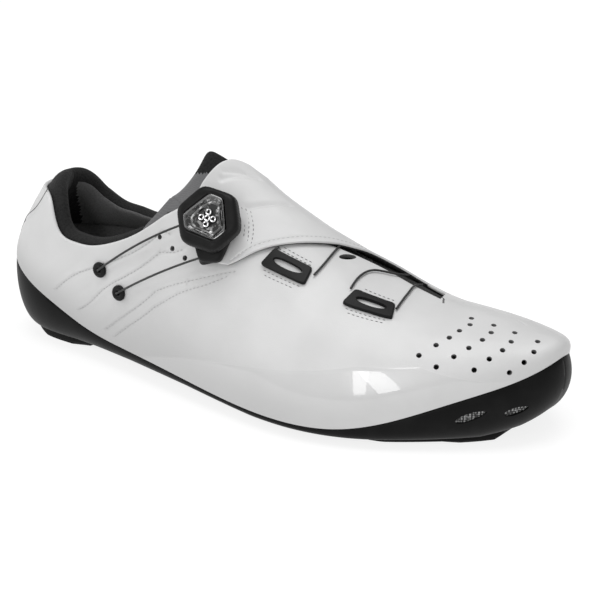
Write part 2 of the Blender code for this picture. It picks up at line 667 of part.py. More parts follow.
def build_insole(look):
    """Cupped insole lying in the sole, its edge part of the way up the sides."""
    points, faces, depth, normal = sole_walls()
    kept = depth >= INSOLE_ROW
    number = np.cumsum(kept) - 1
    faces = [[int(number[k]) for k in face] for face in faces if all(kept[k] for k in face)]
    points, normal = points[kept], normal[kept]
    bottom = points + normal * (SOLE_WALL + GAP)
    top = bottom + normal * INSOLE_THICK
    points, walls = wall_between(bottom, top, faces)
    return solid("insole", points, walls, look)


def seat_frame(place, turn=0.0, height=0.0):
    """Frame on the form: Z along its normal, X along the foot turned by an angle."""
    s, g = place
    normal = Vector(form_normal(s, g))
    along = Vector(form(s + STEP, g) - form(s - STEP, g)).normalized()
    along = (along - normal * along.dot(normal)).normalized()
    side = normal.cross(along)
    x = along * math.cos(turn) + side * math.sin(turn)
    y = normal.cross(x)
    origin = Vector(form(s, g)) + normal * height
    frame = Matrix((x, y, normal)).transposed().to_4x4()
    frame.translation = origin
    return frame


def laid_on_form(place, turn, local):
    """Points given along, across and above a place, laid over the curve of the form there."""
    s0, g0 = place
    frame = seat_frame(place, turn)
    x, y = np.array(frame.col[0][:3]), np.array(frame.col[1][:3])
    ds = (form(s0 + STEP, g0) - form(s0 - STEP, g0)) / (2 * STEP)
    dg = (form(s0, g0 + STEP) - form(s0, g0 - STEP)) / (2 * STEP)
    basis = np.array([[ds @ x, dg @ x], [ds @ y, dg @ y]])
    local = np.asarray(local, float)
    shift = np.linalg.solve(basis, local[:, :2].T).T
    s, g = s0 + shift[:, 0], g0 + shift[:, 1]
    return form(s, g) + form_normal(s, g) * local[:, 2:3]


def ring_solid(name, rings, look, capped):
    """Solid from loops of points one after another; the last meets the first unless its ends are capped."""
    size = len(rings[0])
    points = np.concatenate(rings)
    loops = [list(range(j * size, (j + 1) * size)) for j in range(len(rings))]
    faces = [loops[0], loops[-1][::-1]] if capped else []
    pairs = list(zip(loops, loops[1:])) + ([] if capped else [(loops[-1], loops[0])])
    for first, second in pairs:
        faces += strip_faces(first + first[:1], second + second[:1])
    return solid(name, points, faces, look)


def turned_ring(radius, height, corners=0, swell=0.0, count=DIAL_SIDES):
    """Level loop of points, its radius swelling towards a number of rounded corners."""
    angle = np.arange(count) * math.tau / count
    reach = radius * (1 + swell * np.cos(corners * angle))
    return np.column_stack([reach * np.cos(angle), reach * np.sin(angle), np.full(count, height)])


def moved(frame, points):
    matrix = np.array(frame)
    return points @ matrix[:3, :3].T + matrix[:3, 3]


def dial_frame():
    lift = float(flap_lift(np.array(DIAL_SEAT[0]), np.array(DIAL_SEAT[1])))
    return seat_frame(DIAL_SEAT, DIAL_TURN, lift + 2 * GAP), lift + 2 * GAP


def base_reach(angle):
    """Radius of the housing, drawn out towards its wire port."""
    return BASE_RADIUS + PORT_LENGTH * np.maximum(-np.sin(angle), 0.0) ** PORT_POWER


def build_dial(base_look, knob_look, hub_look):
    """Housing on the flap's tip, the knob that turns over it, and the hub in the knob's window."""
    seat, lift = dial_frame()
    angle = np.arange(DIAL_SIDES) * math.tau / DIAL_SIDES
    reach = base_reach(angle)
    rim = np.column_stack([np.cos(angle), np.sin(angle)]) * reach[:, None]
    laid = [laid_on_form(DIAL_SEAT, DIAL_TURN, np.column_stack([rim * share, np.full(len(rim), lift)]))
            for share in HOUSING_FOOT]
    port = reach > BASE_RADIUS + PORT_LENGTH / 4
    raised = []
    for rise, share in HOUSING_WALL:
        height = np.where(port, min(rise, PORT_RISE), rise) * BASE_HEIGHT
        raised.append(moved(seat, np.column_stack([rim * share, height])))
    ring_solid("dial_base", laid + raised, base_look, capped=True)

    low = BASE_HEIGHT + GAP
    top = low + DIAL_HEIGHT
    knob = [turned_ring(DIAL_RADIUS * share, low + DIAL_HEIGHT * rise, KNOB_CORNERS, KNOB_SWELL)
            for share, rise in KNOB_WALL]
    knob += [turned_ring(WINDOW_RADIUS * share, top - depth, WINDOW_CORNERS, WINDOW_SWELL)
             for share, depth in ((1.0, 0.0), (WINDOW_DRAFT, WINDOW_DEPTH))]
    ring_solid("dial_knob", [moved(seat, ring) for ring in knob], knob_look, capped=True)

    floor = top - WINDOW_DEPTH + GAP
    hub = [turned_ring(HUB_RADIUS * share, floor + HUB_HEIGHT * rise, count=HUB_SIDES)
           for share, rise in HUB_WALL]
    ring_solid("dial_hub", [moved(seat, ring) for ring in hub], hub_look, capped=True)


def build_eyelet(name, place, look):
    """Round washer on the outer quarter that a wire runs into."""
    rings = [turned_ring(radius, 2 * GAP + EYELET_HEIGHT * rise, count=EYELET_SIDES)
             for radius, rise in EYELET_WALL]
    return ring_solid(name, [laid_on_form(place, 0.0, ring) for ring in rings], look, capped=False)


def oblong(length, width, height, count=GUIDE_SIDES):
    """Loop of an oblong with round ends, its points spread alike on every size."""
    angle = (np.arange(count) + 0.5) * math.tau / count
    along = (length - width) / 2 * np.sign(np.cos(angle)) + width / 2 * np.cos(angle)
    return np.column_stack([along, width / 2 * np.sin(angle), np.full(count, height)])


def plate_loop(length, width, height):
    """Loop of a plate with slightly rounded corners."""
    angle = (np.arange(GUIDE_SIDES) + 0.5) * math.tau / GUIDE_SIDES
    x = np.sign(np.cos(angle)) * np.abs(np.cos(angle)) ** GUIDE_CORNER * length / 2
    y = np.sign(np.sin(angle)) * np.abs(np.sin(angle)) ** GUIDE_CORNER * width / 2
    return np.column_stack([x, y, np.full(GUIDE_SIDES, height)])


def build_guide(name, place, turn, look):
    """Plate with an oval slot that a wire loops through."""
    low, high = GAP, GAP + GUIDE_HEIGHT
    rings = [
        plate_loop(GUIDE_LENGTH, GUIDE_WIDTH, low),
        plate_loop(GUIDE_LENGTH, GUIDE_WIDTH, high),
        oblong(SLOT_LENGTH, SLOT_WIDTH, high),
        oblong(SLOT_LENGTH, SLOT_WIDTH, low),
    ]
    return ring_solid(name, [laid_on_form(place, turn, ring) for ring in rings], look, capped=False)


def along_form(route):
    """Points of a wire's route over the form."""
    route = np.asarray(route, float)
    s, g, lift = route[:, 0], route[:, 1], route[:, 2:3] * WIRE_RADIUS
    return form(s, g) + form_normal(s, g) * lift


def taut_run(angle, place):
    """Straight run of a wire from an angle round the housing, half way up it, to just over an eyelet."""
    seat, _ = dial_frame()
    reach = base_reach(np.array(angle)) + 2 * GAP
    start = np.array([[math.cos(angle) * reach, math.sin(angle) * reach, BASE_HEIGHT / 2]])
    over = 3 * GAP + EYELET_HEIGHT + WIRE_RADIUS
    return np.concatenate([moved(seat, start), [form(*place) + form_normal(*place) * over]])


def build_wire(name, points, look):
    """Wire along a smooth curve through its points."""
    length = np.concatenate([[0.0], np.cumsum(np.linalg.norm(np.diff(points, axis=0), axis=1))])
    count = max(4, round(length[-1] / (WIRE_RADIUS * WIRE_PITCH)))
    path = spline(np.column_stack([length, points]), np.linspace(0, length[-1], count))
    curve = bpy.data.curves.new(name, "CURVE")
    curve.dimensions = "3D"
    curve.bevel_depth = WIRE_RADIUS
    curve.bevel_resolution = 1
    curve.use_fill_caps = True
    run = curve.splines.new("POLY")
    run.points.add(count - 1)
    for point, place in zip(run.points, path):
        point.co = (*place, 1.0)
    curve.materials.append(look)
    made = bpy.data.objects.new(name, curve)
    bpy.context.collection.objects.link(made)
    return made


def cut(target, cutter):
    """Boolean cut of a hidden cutter out of a solid."""
    change = target.modifiers.new(cutter.name, "BOOLEAN")
    change.operation = "DIFFERENCE"
    change.solver = "EXACT"
    change.object = cutter


def cutter_object(name, loop, depth, frame):
    """Hidden prism of a loop of points, pushed both ways along its frame's Z."""
    size = len(loop)
    points = [(x, y, -depth) for x, y in loop] + [(x, y, depth) for x, y in loop]
    faces = [list(range(size))[::-1], list(range(size, 2 * size))]
    faces += [[k, (k + 1) % size, size + (k + 1) % size, size + k] for k in range(size)]
    mesh = bpy.data.meshes.new(name)
    mesh.from_pydata(points, [], faces)
    made = bpy.data.objects.new(name, mesh)
    made.matrix_world = frame
    made.hide_render = True
    made.display_type = "WIRE"
    bpy.context.collection.objects.link(made)
    return made


def cut_vents(sole):
    outer = np.array(-1.0)
    for k, (s, w, length, tilt) in enumerate(VENTS):
        along = Vector(sole_point(s + STEP, outer, w) - sole_point(s - STEP, outer, w)).normalized()
        down = Vector(sole_point(s, outer, w + STEP) - sole_point(s, outer, w - STEP)).normalized()
        outward = along.cross(down).normalized()
        frame = Matrix((along, outward.cross(along), outward)).transposed().to_4x4()
        frame.translation = Vector(sole_point(s, outer, w))
        frame = frame @ Matrix.Rotation(-math.radians(tilt), 4, "Z")
        loop = oblong(length, VENT_HEIGHT, 0.0, VENT_SIDES)[:, :2]
        cut(sole, cutter_object(f"vent_cutter_{k + 1}", loop, SOLE_WALL * CUTTER_REACH, frame))


def cut_bolt_holes(sole):
    x, y = BOLT_MIDDLE[0] * LENGTH, BOLT_MIDDLE[1] * BALL_WIDTH
    front, rear = x + BOLT_REACH / 2, x - BOLT_REACH / 2
    loop = turned_ring(BOLT_RADIUS, 0.0, count=BOLT_SIDES)[:, :2]
    for k, place in enumerate([(front, y), (rear, y - BOLT_SPREAD / 2), (rear, y + BOLT_SPREAD / 2)]):
        frame = Matrix.Translation((*place, FLOOR_HEIGHT))
        cut(sole, cutter_object(f"bolt_cutter_{k + 1}", loop, SOLE_WALL * CUTTER_REACH, frame))


def set_at_origin():
    """Set the middle of the floor rectangle at the origin and the lowest face at zero height."""
    shown = [made for made in bpy.data.objects if made.type == "MESH" and not made.hide_render]
    points = np.array([tuple(vertex.co) for made in shown for vertex in made.data.vertices])
    low, high = points.min(axis=0), points.max(axis=0)
    shift = Vector(((low[0] + high[0]) / 2, (low[1] + high[1]) / 2, low[2]))
    for made in bpy.data.objects:
        made.matrix_world = Matrix.Translation(-shift) @ made.matrix_world


def main():
    for old in list(bpy.data.objects):
        bpy.data.objects.remove(old, do_unlink=True)

    white = material("coated white", (0.80, 0.80, 0.80), 0.28)
    black = material("satin black", (0.012, 0.012, 0.012), 0.38)
    rubber = material("black rubber", (0.015, 0.015, 0.015), 0.75)
    cloth = material("black padding", (0.010, 0.010, 0.010), 0.90)
    lining = material("dark grey lining", (0.035, 0.035, 0.035), 0.92)
    plastic = material("black plastic", (0.012, 0.012, 0.012), 0.45)
    steel = material("bright metal", (0.80, 0.80, 0.80), 0.15, 1.0)
    cable = material("wire", (0.030, 0.030, 0.030), 0.35, 0.6)

    build_upper(white)
    build_flap(white)
    build_tongue(cloth)
    build_padding(cloth)
    build_sole(black)
    build_pad("heel_pad", HEEL_PAD, rubber)
    build_pad("toe_pad", TOE_PAD, rubber)
    build_insole(lining)
    build_dial(plastic, plastic, steel)
    build_eyelet("eyelet_upper", EYELET_UPPER, plastic)
    build_eyelet("eyelet_lower", EYELET_LOWER, plastic)
    build_guide("guide_rear", GUIDE_REAR, GUIDE_REAR_TURN, plastic)
    build_guide("guide_front", GUIDE_FRONT, GUIDE_FRONT_TURN, plastic)
    build_wire("wire_upper", taut_run(PORT_UPPER, EYELET_UPPER), cable)
    build_wire("wire_lower", taut_run(PORT_LOWER, EYELET_LOWER), cable)
    build_wire("wire_rear_left", along_form(ROUTE_REAR_LEFT), cable)
    build_wire("wire_rear_right", along_form(ROUTE_REAR_RIGHT), cable)
    build_wire("wire_front_left", along_form(ROUTE_FRONT_LEFT), cable)
    build_wire("wire_front_right", along_form(ROUTE_FRONT_RIGHT), cable)
    set_at_origin()


main()
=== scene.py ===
"""Cycling shoe for the right foot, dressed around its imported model.

Metres, +Z up, +X from heel to toe, the outer side of the foot at -Y. Every surface that lies on the shoe
is worked out from the form of the last: s runs from the heel, 0, to the toe, 1, and g runs from the outer
edge, -1, over the crest, 0, to the inner edge, 1.
"""

import logging
import math
from dataclasses import dataclass, field
from enum import Enum
from typing import Any, ClassVar

import bmesh
import bpy
import numpy as np
from mathutils import Matrix, Vector


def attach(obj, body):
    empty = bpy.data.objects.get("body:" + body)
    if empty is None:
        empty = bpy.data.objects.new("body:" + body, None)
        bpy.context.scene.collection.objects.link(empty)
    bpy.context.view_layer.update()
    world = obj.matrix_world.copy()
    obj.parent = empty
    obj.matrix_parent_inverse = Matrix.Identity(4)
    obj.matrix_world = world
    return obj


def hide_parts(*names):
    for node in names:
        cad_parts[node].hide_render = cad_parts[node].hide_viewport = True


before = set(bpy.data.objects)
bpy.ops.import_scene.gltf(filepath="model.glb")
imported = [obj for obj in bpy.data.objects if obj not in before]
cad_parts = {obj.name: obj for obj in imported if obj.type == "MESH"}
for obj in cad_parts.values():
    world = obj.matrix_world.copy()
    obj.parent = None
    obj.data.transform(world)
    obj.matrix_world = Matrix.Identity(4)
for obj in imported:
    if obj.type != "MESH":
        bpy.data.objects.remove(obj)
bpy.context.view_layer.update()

Array = np.ndarray
Rows = tuple[tuple[float, ...], ...]
log = logging.getLogger("shoe")
UP = np.array([0.0, 0.0, 1.0])
MM = 0.001


# Curves and small sums


def unit(vectors: Array) -> Array:
    """Vectors scaled to length one."""
    return vectors / np.maximum(np.linalg.norm(vectors, axis=-1, keepdims=True), 1e-12)


def smooth(share: Array) -> Array:
    """Soft step from 0 to 1, three times the square less two times the cube."""
    share = np.clip(share, 0.0, 1.0)
    return share * share * (3 - 2 * share)


def bell(distance: Array, width: float) -> Array:
    """Gauss bell: e to the power of minus the squared share of the width."""
    return np.exp(-(distance / width) ** 2)


def spline(rows: Any, at: Array, closed: bool = False) -> Array:
    """Cubic spline through rows of a station and its values.

    Args:
        rows: a station and its values in each row.
        at: stations to read.
        closed: whether the curve runs round.

    Returns:
        The values at each station, from piecewise cubics whose second derivatives agree.
    """
    rows = np.asarray(rows, float)
    stations, values = rows[:, 0], rows[:, 1:]
    count = len(stations)
    span = np.diff(stations)
    size = count - 1 if closed else count
    matrix = np.zeros((size, size))
    right = np.zeros((size, values.shape[1]))
    for i in range(size):
        if not closed and i in (0, size - 1):
            matrix[i, i] = 1.0
            continue
        before, after = (i - 1) % size, (i + 1) % size
        last, this = span[before] if closed else span[i - 1], span[i]
        matrix[i, before] += last
        matrix[i, i] += 2 * (last + this)
        matrix[i, after] += this
        right[i] = 6 * ((values[i + 1] - values[i]) / this - (values[i] - values[before]) / last)
    bend = np.linalg.solve(matrix, right)
    if closed:
        bend = np.concatenate([bend, bend[:1]])
    at = np.clip(np.asarray(at, float), stations[0], stations[-1])
    j = np.clip(np.searchsorted(stations, at, side="right") - 1, 0, count - 2)
    ahead, behind, wide = (stations[j + 1] - at)[..., None], (at - stations[j])[..., None], span[j][..., None]
    curve = (bend[j] * ahead**3 + bend[j + 1] * behind**3) / (6 * wide)
    curve += (values[j] / wide - bend[j] * wide / 6) * ahead
    curve += (values[j + 1] / wide - bend[j + 1] * wide / 6) * behind
    return curve


def chords(points: Array) -> Array:
    """Length of the way to each point: the running sum of the distances between neighbours."""
    return np.concatenate([[0.0], np.cumsum(np.linalg.norm(np.diff(points, axis=0), axis=1))])


def through(points: Any, count: int) -> Array:
    """Evenly spaced points on a smooth curve through the given points, by the length of their chords.

    Args:
        points: what the curve runs through, one row each.
        count: number of points to return.

    Returns:
        The points, one row each.
    """
    points = np.asarray(points, float)
    length = chords(points)
    return spline(np.column_stack([length, points]), np.linspace(0, length[-1], count))


def turns(sides: int) -> Array:
    """Angles evenly round a full turn."""
    return np.arange(sides) * math.tau / sides


def half_round(outer: Array, inner: Array, out: Array, count: int, bulge: float = 0.5) -> Array:
    """Rings of a rolled edge between two rows of points.

    Each ring is the middle of the two rows, plus half their distance times the cosine, plus a share of it
    outward in the sheet times the sine, over half a turn.

    Args:
        outer: row of points on the outer face.
        inner: row of points on the inner face.
        out: directions out of the sheet.
        count: number of rings.
        bulge: how far the edge rolls out, as a share of half the sheet.

    Returns:
        The rings, from the outer to the inner row.
    """
    middle, half = (outer + inner) / 2, (outer - inner) / 2
    angle = np.linspace(0, math.pi, count)[:, None, None]
    reach = np.linalg.norm(half, axis=-1, keepdims=True) * bulge
    return middle + half * np.cos(angle) + out * reach * np.sin(angle)


@dataclass(frozen=True)
class Last:
    """The form that the shoe is built on, in the part's own sizes.

    The tables hold a station first, then shares: EDGE the rise of the outer and inner edge line, CREST and
    ANKLE the place of the top and its height, OUTER and INNER the handles of the sections' curves, COLLAR and
    THROAT the outer and inner edge of the openings, SOLE_SIDE the floor's height, the bulge and the inset.
    """

    length: float = 0.280
    ball_width: float = 0.104
    instep_height: float = 0.100
    heel_height: float = 0.075
    sole_rise: float = 0.038
    floor_height: float = 0.0036
    origin: tuple[float, float, float] = (0.13881873, -0.00231849, 0.0)
    step: float = 0.0015
    toe_round: float = 0.022

    OUTLINE: ClassVar[Rows] = (
        (0.002, 0.00), (0.022, -0.150), (0.075, -0.235), (0.160, -0.265), (0.270, -0.320), (0.390, -0.395),
        (0.510, -0.465), (0.630, -0.510), (0.735, -0.465), (0.830, -0.340), (0.910, -0.200), (0.962, -0.070),
        (0.985, 0.080), (0.973, 0.205), (0.930, 0.325), (0.860, 0.420), (0.755, 0.465), (0.640, 0.450),
        (0.520, 0.370), (0.390, 0.300), (0.270, 0.280), (0.160, 0.275), (0.075, 0.235), (0.022, 0.150),
    )
    TOE_ROW: ClassVar[int] = 12
    EDGE: ClassVar[Rows] = (
        (0.00, 1.00, 1.00), (0.05, 0.96, 0.95), (0.10, 0.80, 0.82), (0.15, 0.62, 0.68), (0.20, 0.45, 0.58),
        (0.30, 0.33, 0.53), (0.40, 0.275, 0.53), (0.50, 0.21, 0.37), (0.60, 0.185, 0.26), (0.68, 0.21, 0.26),
        (0.76, 0.355, 0.34), (0.84, 0.58, 0.55), (0.92, 0.80, 0.79), (1.00, 1.05, 1.05),
    )
    CREST: ClassVar[Rows] = (
        (0.36, 0.345, 0.000, 1.370), (0.42, 0.410, -0.010, 1.080), (0.50, 0.500, -0.010, 0.860),
        (0.60, 0.615, 0.010, 0.672), (0.70, 0.715, 0.030, 0.570), (0.80, 0.800, 0.050, 0.520),
        (0.90, 0.870, 0.065, 0.495), (1.00, 0.912, 0.075, 0.474),
    )
    ANKLE: ClassVar[Rows] = (
        (-0.36, 0.345, 0.00, 1.37), (-0.27, 0.300, 0.22, 1.28), (-0.18, 0.225, 0.26, 1.15),
        (-0.08, 0.158, 0.175, 1.04), (0.00, 0.125, 0.00, 1.00), (0.08, 0.158, -0.175, 1.04),
        (0.18, 0.225, -0.26, 1.15), (0.27, 0.300, -0.22, 1.28), (0.36, 0.345, 0.00, 1.37),
    )
    ANKLE_STATION: ClassVar[float] = 0.36
    OUTER: ClassVar[Rows] = (
        (0.00, 0.00, 0.12, 0.17, 0.25), (0.08, 0.01, 0.14, 0.10, 0.28), (0.20, 0.03, 0.20, 0.03, 0.40),
        (0.30, 0.03, 0.32, 0.04, 0.40), (0.38, 0.03, 0.34, 0.115, 0.10), (0.48, 0.04, 0.30, 0.19, 0.02),
        (0.60, 0.06, 0.26, 0.29, 0.00), (0.72, 0.05, 0.24, 0.31, 0.00), (0.84, 0.03, 0.18, 0.27, 0.00),
        (1.00, 0.02, 0.10, 0.16, 0.00),
    )
    INNER: ClassVar[Rows] = (
        (0.00, 0.00, 0.12, 0.17, 0.25), (0.08, 0.01, 0.14, 0.10, 0.28), (0.20, 0.03, 0.20, 0.03, 0.40),
        (0.30, 0.03, 0.32, 0.04, 0.40), (0.38, 0.03, 0.34, 0.115, 0.10), (0.48, 0.04, 0.30, 0.19, 0.02),
        (0.60, 0.06, 0.24, 0.25, 0.00), (0.67, 0.055, 0.24, 0.23, -0.010), (0.74, 0.05, 0.21, 0.21, 0.030),
        (0.84, 0.03, 0.16, 0.19, 0.012), (0.91, 0.03, 0.135, 0.178, 0.010), (1.00, 0.02, 0.10, 0.16, 0.00),
    )
    COLLAR: ClassVar[Rows] = (
        (0.00, 0.955, 0.955), (0.04, 0.98, 0.935), (0.08, 0.97, 0.87), (0.11, 0.88, 0.80),
        (0.14, 0.775, 0.745), (0.17, 0.745, 0.725), (0.20, 0.745, 0.705), (0.25, 0.80, 0.735),
        (0.30, 0.885, 0.83),
        (0.35, 1.00, 0.98), (0.39, 1.10, 1.09), (0.42, 1.19, 1.18),
    )
    COLLAR_END: ClassVar[float] = 0.42
    THROAT: ClassVar[Rows] = (
        (0.42, -0.30, 0.34), (0.47, -0.25, 0.38), (0.52, -0.16, 0.385), (0.57, -0.06, 0.37),
        (0.62, 0.035, 0.34), (0.67, 0.065, 0.35), (0.71, 0.050, 0.335), (0.745, 0.030, 0.26),
        (0.777, 0.00, 0.00),
    )
    SLIT_END: ClassVar[float] = 0.777
    FLAP_END: ClassVar[float] = 0.705
    SOLE_SIDE: ClassVar[Rows] = (
        (0.00, 1.35, 0.015, 0.085), (0.15, 1.35, 0.012, 0.080), (0.30, 1.55, 0.005, 0.070),
        (0.42, 1.45, 0.004, 0.060), (0.55, 1.00, 0.004, 0.045), (0.70, 1.00, 0.006, 0.035),
        (0.80, 1.00, 0.020, 0.055), (0.88, 1.00, 0.035, 0.085), (0.94, 1.70, 0.045, 0.120),
        (1.00, 2.90, 0.050, 0.140),
    )

    def outline(self, ring: Array) -> tuple[Array, Array]:
        """Reads the outline seen from above, a closed cubic spline.

        Args:
            ring: 0 at the heel, 1 at the toe and 2 at the heel again.

        Returns:
            Points of the outline, and the level outward normals there.
        """
        points = np.array(self.OUTLINE + self.OUTLINE[:1]) * (self.length, self.ball_width)
        length = chords(points)
        outer = length[:self.TOE_ROW + 1] / length[self.TOE_ROW]
        inner = 1 + (length[self.TOE_ROW + 1:] - length[self.TOE_ROW]) / (length[-1] - length[self.TOE_ROW])
        along = np.interp(np.asarray(ring, float) % 2.0, np.concatenate([outer, inner]), length)
        rows = np.column_stack([length, points])
        nudge = self.length * 1e-4
        ahead = spline(rows, (along + nudge) % length[-1], closed=True)
        behind = spline(rows, (along - nudge) % length[-1], closed=True)
        tangent = unit(ahead - behind)
        return spline(rows, along, closed=True), np.stack([tangent[..., 1], -tangent[..., 0]], axis=-1)

    def rounded(self, s: Array) -> Array:
        """Station rounded at the toe: one less the root of its distance squared plus a length squared."""
        return 1 - np.sqrt((1 - s) ** 2 + self.toe_round ** 2 * smooth((s - 0.80) / 0.15))

    def edge(self, s: Array, side: Array) -> tuple[Array, Array]:
        """Reads the line where upper and sole meet, in the heel's own frame.

        Args:
            s: stations.
            side: below 0 for the outer side, above it for the inner.

        Returns:
            Points of the line, and the level outward normals there.
        """
        point, normal = self.outline(np.where(side < 0, s, 2.0 - s))
        rise = spline(self.EDGE, self.rounded(s)) * self.sole_rise
        height = np.where(side < 0, rise[..., 0], rise[..., 1])
        level = np.concatenate([normal, np.zeros(normal.shape[:-1] + (1,))], axis=-1)
        return np.concatenate([point, height[..., None]], axis=-1), level

    def raw(self, s: Array, g: Array) -> Array:
        """Cubic Bezier curve from the edge line to the crest in every section, in the heel's own frame.

        Args:
            s: stations.
            g: places across.

        Returns:
            A point for each pair.
        """
        s, g = np.broadcast_arrays(np.asarray(s, float), np.asarray(g, float))
        side = np.where(g > 0, 1.0, -1.0)
        scale = np.array([self.length, self.ball_width, self.instep_height])
        low, level = self.edge(s, side)
        s = self.rounded(s)
        crest = spline(self.CREST, np.clip(s, self.ANKLE_STATION, 1.0)) * scale
        ankle = spline(self.ANKLE, -side * np.clip(s, 0.0, self.ANKLE_STATION)) * scale
        high = np.where((s >= self.ANKLE_STATION)[..., None], crest, ankle)
        section = np.where((side < 0)[..., None], spline(self.OUTER, s), spline(self.INNER, s))
        inside = np.clip(s, self.ANKLE_STATION + self.step, 1.0 - self.step)
        run = (spline(self.CREST, inside + self.step) - spline(self.CREST, inside - self.step)) * scale
        slope = run[..., 2] / run[..., 0]
        swing = smooth((s - 0.72) / 0.28) * math.pi / 2
        across = np.stack([np.sin(swing), side * np.cos(swing), slope * np.sin(swing)], axis=-1)
        blend = smooth((s - 0.22) / 0.16)[..., None]
        shoulder = level * (1 - blend) + across * blend
        wide, tall = self.ball_width, self.instep_height
        first = low + level * section[..., 0:1] * wide + UP * section[..., 1:2] * tall
        second = high + shoulder * section[..., 2:3] * wide - UP * section[..., 3:4] * tall
        v = (1 - np.abs(g))[..., None]
        return (1 - v)**3 * low + 3 * (1 - v)**2 * v * first + 3 * (1 - v) * v**2 * second + v**3 * high

    def form(self, s: Array, g: Array) -> Array:
        """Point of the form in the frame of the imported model."""
        return self.raw(s, g) - np.array(self.origin)

    def normal(self, s: Array, g: Array) -> Array:
        """Outward normal: the cross product of two short steps over the form.

        Args:
            s: stations.
            g: places across.

        Returns:
            A direction for each pair, level with the middle at the heel.
        """
        s, g = np.broadcast_arrays(np.asarray(s, float), np.asarray(g, float))
        along = self.raw(np.clip(s + self.step, 0, 1), g) - self.raw(np.clip(s - self.step, 0, 1), g)
        over = self.raw(s, np.clip(g + self.step, -1, 1)) - self.raw(s, np.clip(g - self.step, -1, 1))
        normal = unit(np.cross(along, over))
        normal[..., 1] = np.where(s < 1e-6, 0.0, normal[..., 1])
        return unit(normal)

    def over(self, s: Array, g: Array, height: Array | float) -> Array:
        """Point at a height over the form: the form's point plus its normal times the height."""
        return self.form(s, g) + self.normal(s, g) * np.asarray(height, float)[..., None]

    def place_at_height(self, s: Array, side: float, height: Array) -> Array:
        """Finds where each section reaches a height, read between 160 places tried in it.

        Args:
            s: stations.
            side: -1 for the outer side, 1 for the inner.
            height: height sought at each station, in the heel's own frame.

        Returns:
            The place across at each station.
        """
        tries = np.linspace(0.0, 0.85, 160)
        heights = self.raw(s[:, None], side * (1 - tries)[None, :])[..., 2]
        index = np.clip(np.argmax(heights >= height[:, None], axis=1), 1, len(tries) - 1)
        rows = np.arange(len(s))
        low, high = heights[rows, index - 1], heights[rows, index]
        share = np.clip((height - low) / np.maximum(high - low, 1e-9), 0, 1)
        return side * (1 - (tries[index - 1] + (tries[index] - tries[index - 1]) * share))

    def quarter_edge(self, s: Array, side: float) -> Array:
        """Upper edge of a quarter: the collar's rim, then the throat slit, then the crest.

        Args:
            s: stations.
            side: -1 for the outer quarter, 1 for the inner.

        Returns:
            The place across at each station.
        """
        column = 0 if side < 0 else 1
        rim = spline(self.COLLAR, np.minimum(s, self.COLLAR_END))[:, column] * self.heel_height
        collar = self.place_at_height(np.minimum(s, self.COLLAR_END), side, rim)
        throat = spline(self.THROAT, np.clip(s, self.COLLAR_END, self.SLIT_END))[:, column]
        return np.where(s < self.COLLAR_END, collar, np.where(s < self.SLIT_END, throat, 0.0))

    def seat(self, place: tuple[float, float], turn: float = 0.0, height: float = 0.0) -> Array:
        """Frame on the form: Z along its normal, X along the foot turned by an angle.

        Args:
            place: station and place across.
            turn: angle in radians.
            height: height over the form.

        Returns:
            A 4 by 4 matrix.
        """
        s, g = place
        normal = self.normal(s, g)
        along = unit(self.form(s + self.step, g) - self.form(s - self.step, g))
        along = unit(along - normal * (along @ normal))
        side = np.cross(normal, along)
        x = along * math.cos(turn) + side * math.sin(turn)
        matrix = np.eye(4)
        matrix[:3, 0], matrix[:3, 1], matrix[:3, 2] = x, np.cross(normal, x), normal
        matrix[:3, 3] = self.form(s, g) + normal * height
        return matrix

    def laid(self, place: tuple[float, float], turn: float, local: Array) -> Array:
        """Lays points over the curve of the form: their level shift is solved for station and place across.

        Args:
            place: station and place across of the middle.
            turn: angle of the points' own X along the foot.
            local: points along, across and above the middle.

        Returns:
            The points on the form.
        """
        s0, g0 = place
        matrix = self.seat(place, turn)
        ds = (self.form(s0 + self.step, g0) - self.form(s0 - self.step, g0)) / (2 * self.step)
        dg = (self.form(s0, g0 + self.step) - self.form(s0, g0 - self.step)) / (2 * self.step)
        basis = np.array([[ds @ matrix[:3, 0], dg @ matrix[:3, 0]], [ds @ matrix[:3, 1], dg @ matrix[:3, 1]]])
        flat = local.reshape(-1, 3)
        shift = np.linalg.solve(basis, flat[:, :2].T).T
        return self.over(s0 + shift[:, 0], g0 + shift[:, 1], flat[:, 2]).reshape(local.shape)

    def floor(self, s: Array) -> Array:
        """Height of the sole's floor, straight between the rows of its table."""
        table = np.asarray(self.SOLE_SIDE)
        return np.interp(s, table[:, 0], table[:, 1]) * self.floor_height

    def sole_point(self, s: Array, side: Array, w: Array) -> Array:
        """Outer face of the sole's side: a cubic Bezier from the edge line to the floor's rim.

        Args:
            s: stations.
            side: below 0 for the outer side, above it for the inner.
            w: share of the way down.

        Returns:
            A point for each set.
        """
        s, side, w = np.broadcast_arrays(np.asarray(s, float), np.asarray(side, float), np.asarray(w, float))
        row = spline(self.SOLE_SIDE, self.rounded(s))
        top, level = self.edge(s, side)
        bulge, inset = row[..., 1:2] * self.ball_width, row[..., 2:3] * self.ball_width
        foot = top - level * inset
        foot[..., 2] = self.floor(self.rounded(s))
        drop = (top[..., 2:3] - foot[..., 2:3]) * UP
        first = top + level * bulge - drop * 0.55
        second = foot + level * (inset * 0.45 + bulge * 0.6)
        w = w[..., None]
        curve = (1 - w)**3 * top + 3 * (1 - w)**2 * w * first + 3 * (1 - w) * w**2 * second + w**3 * foot
        return curve - np.array(self.origin)


LAST = Last()


# Meshes from grids


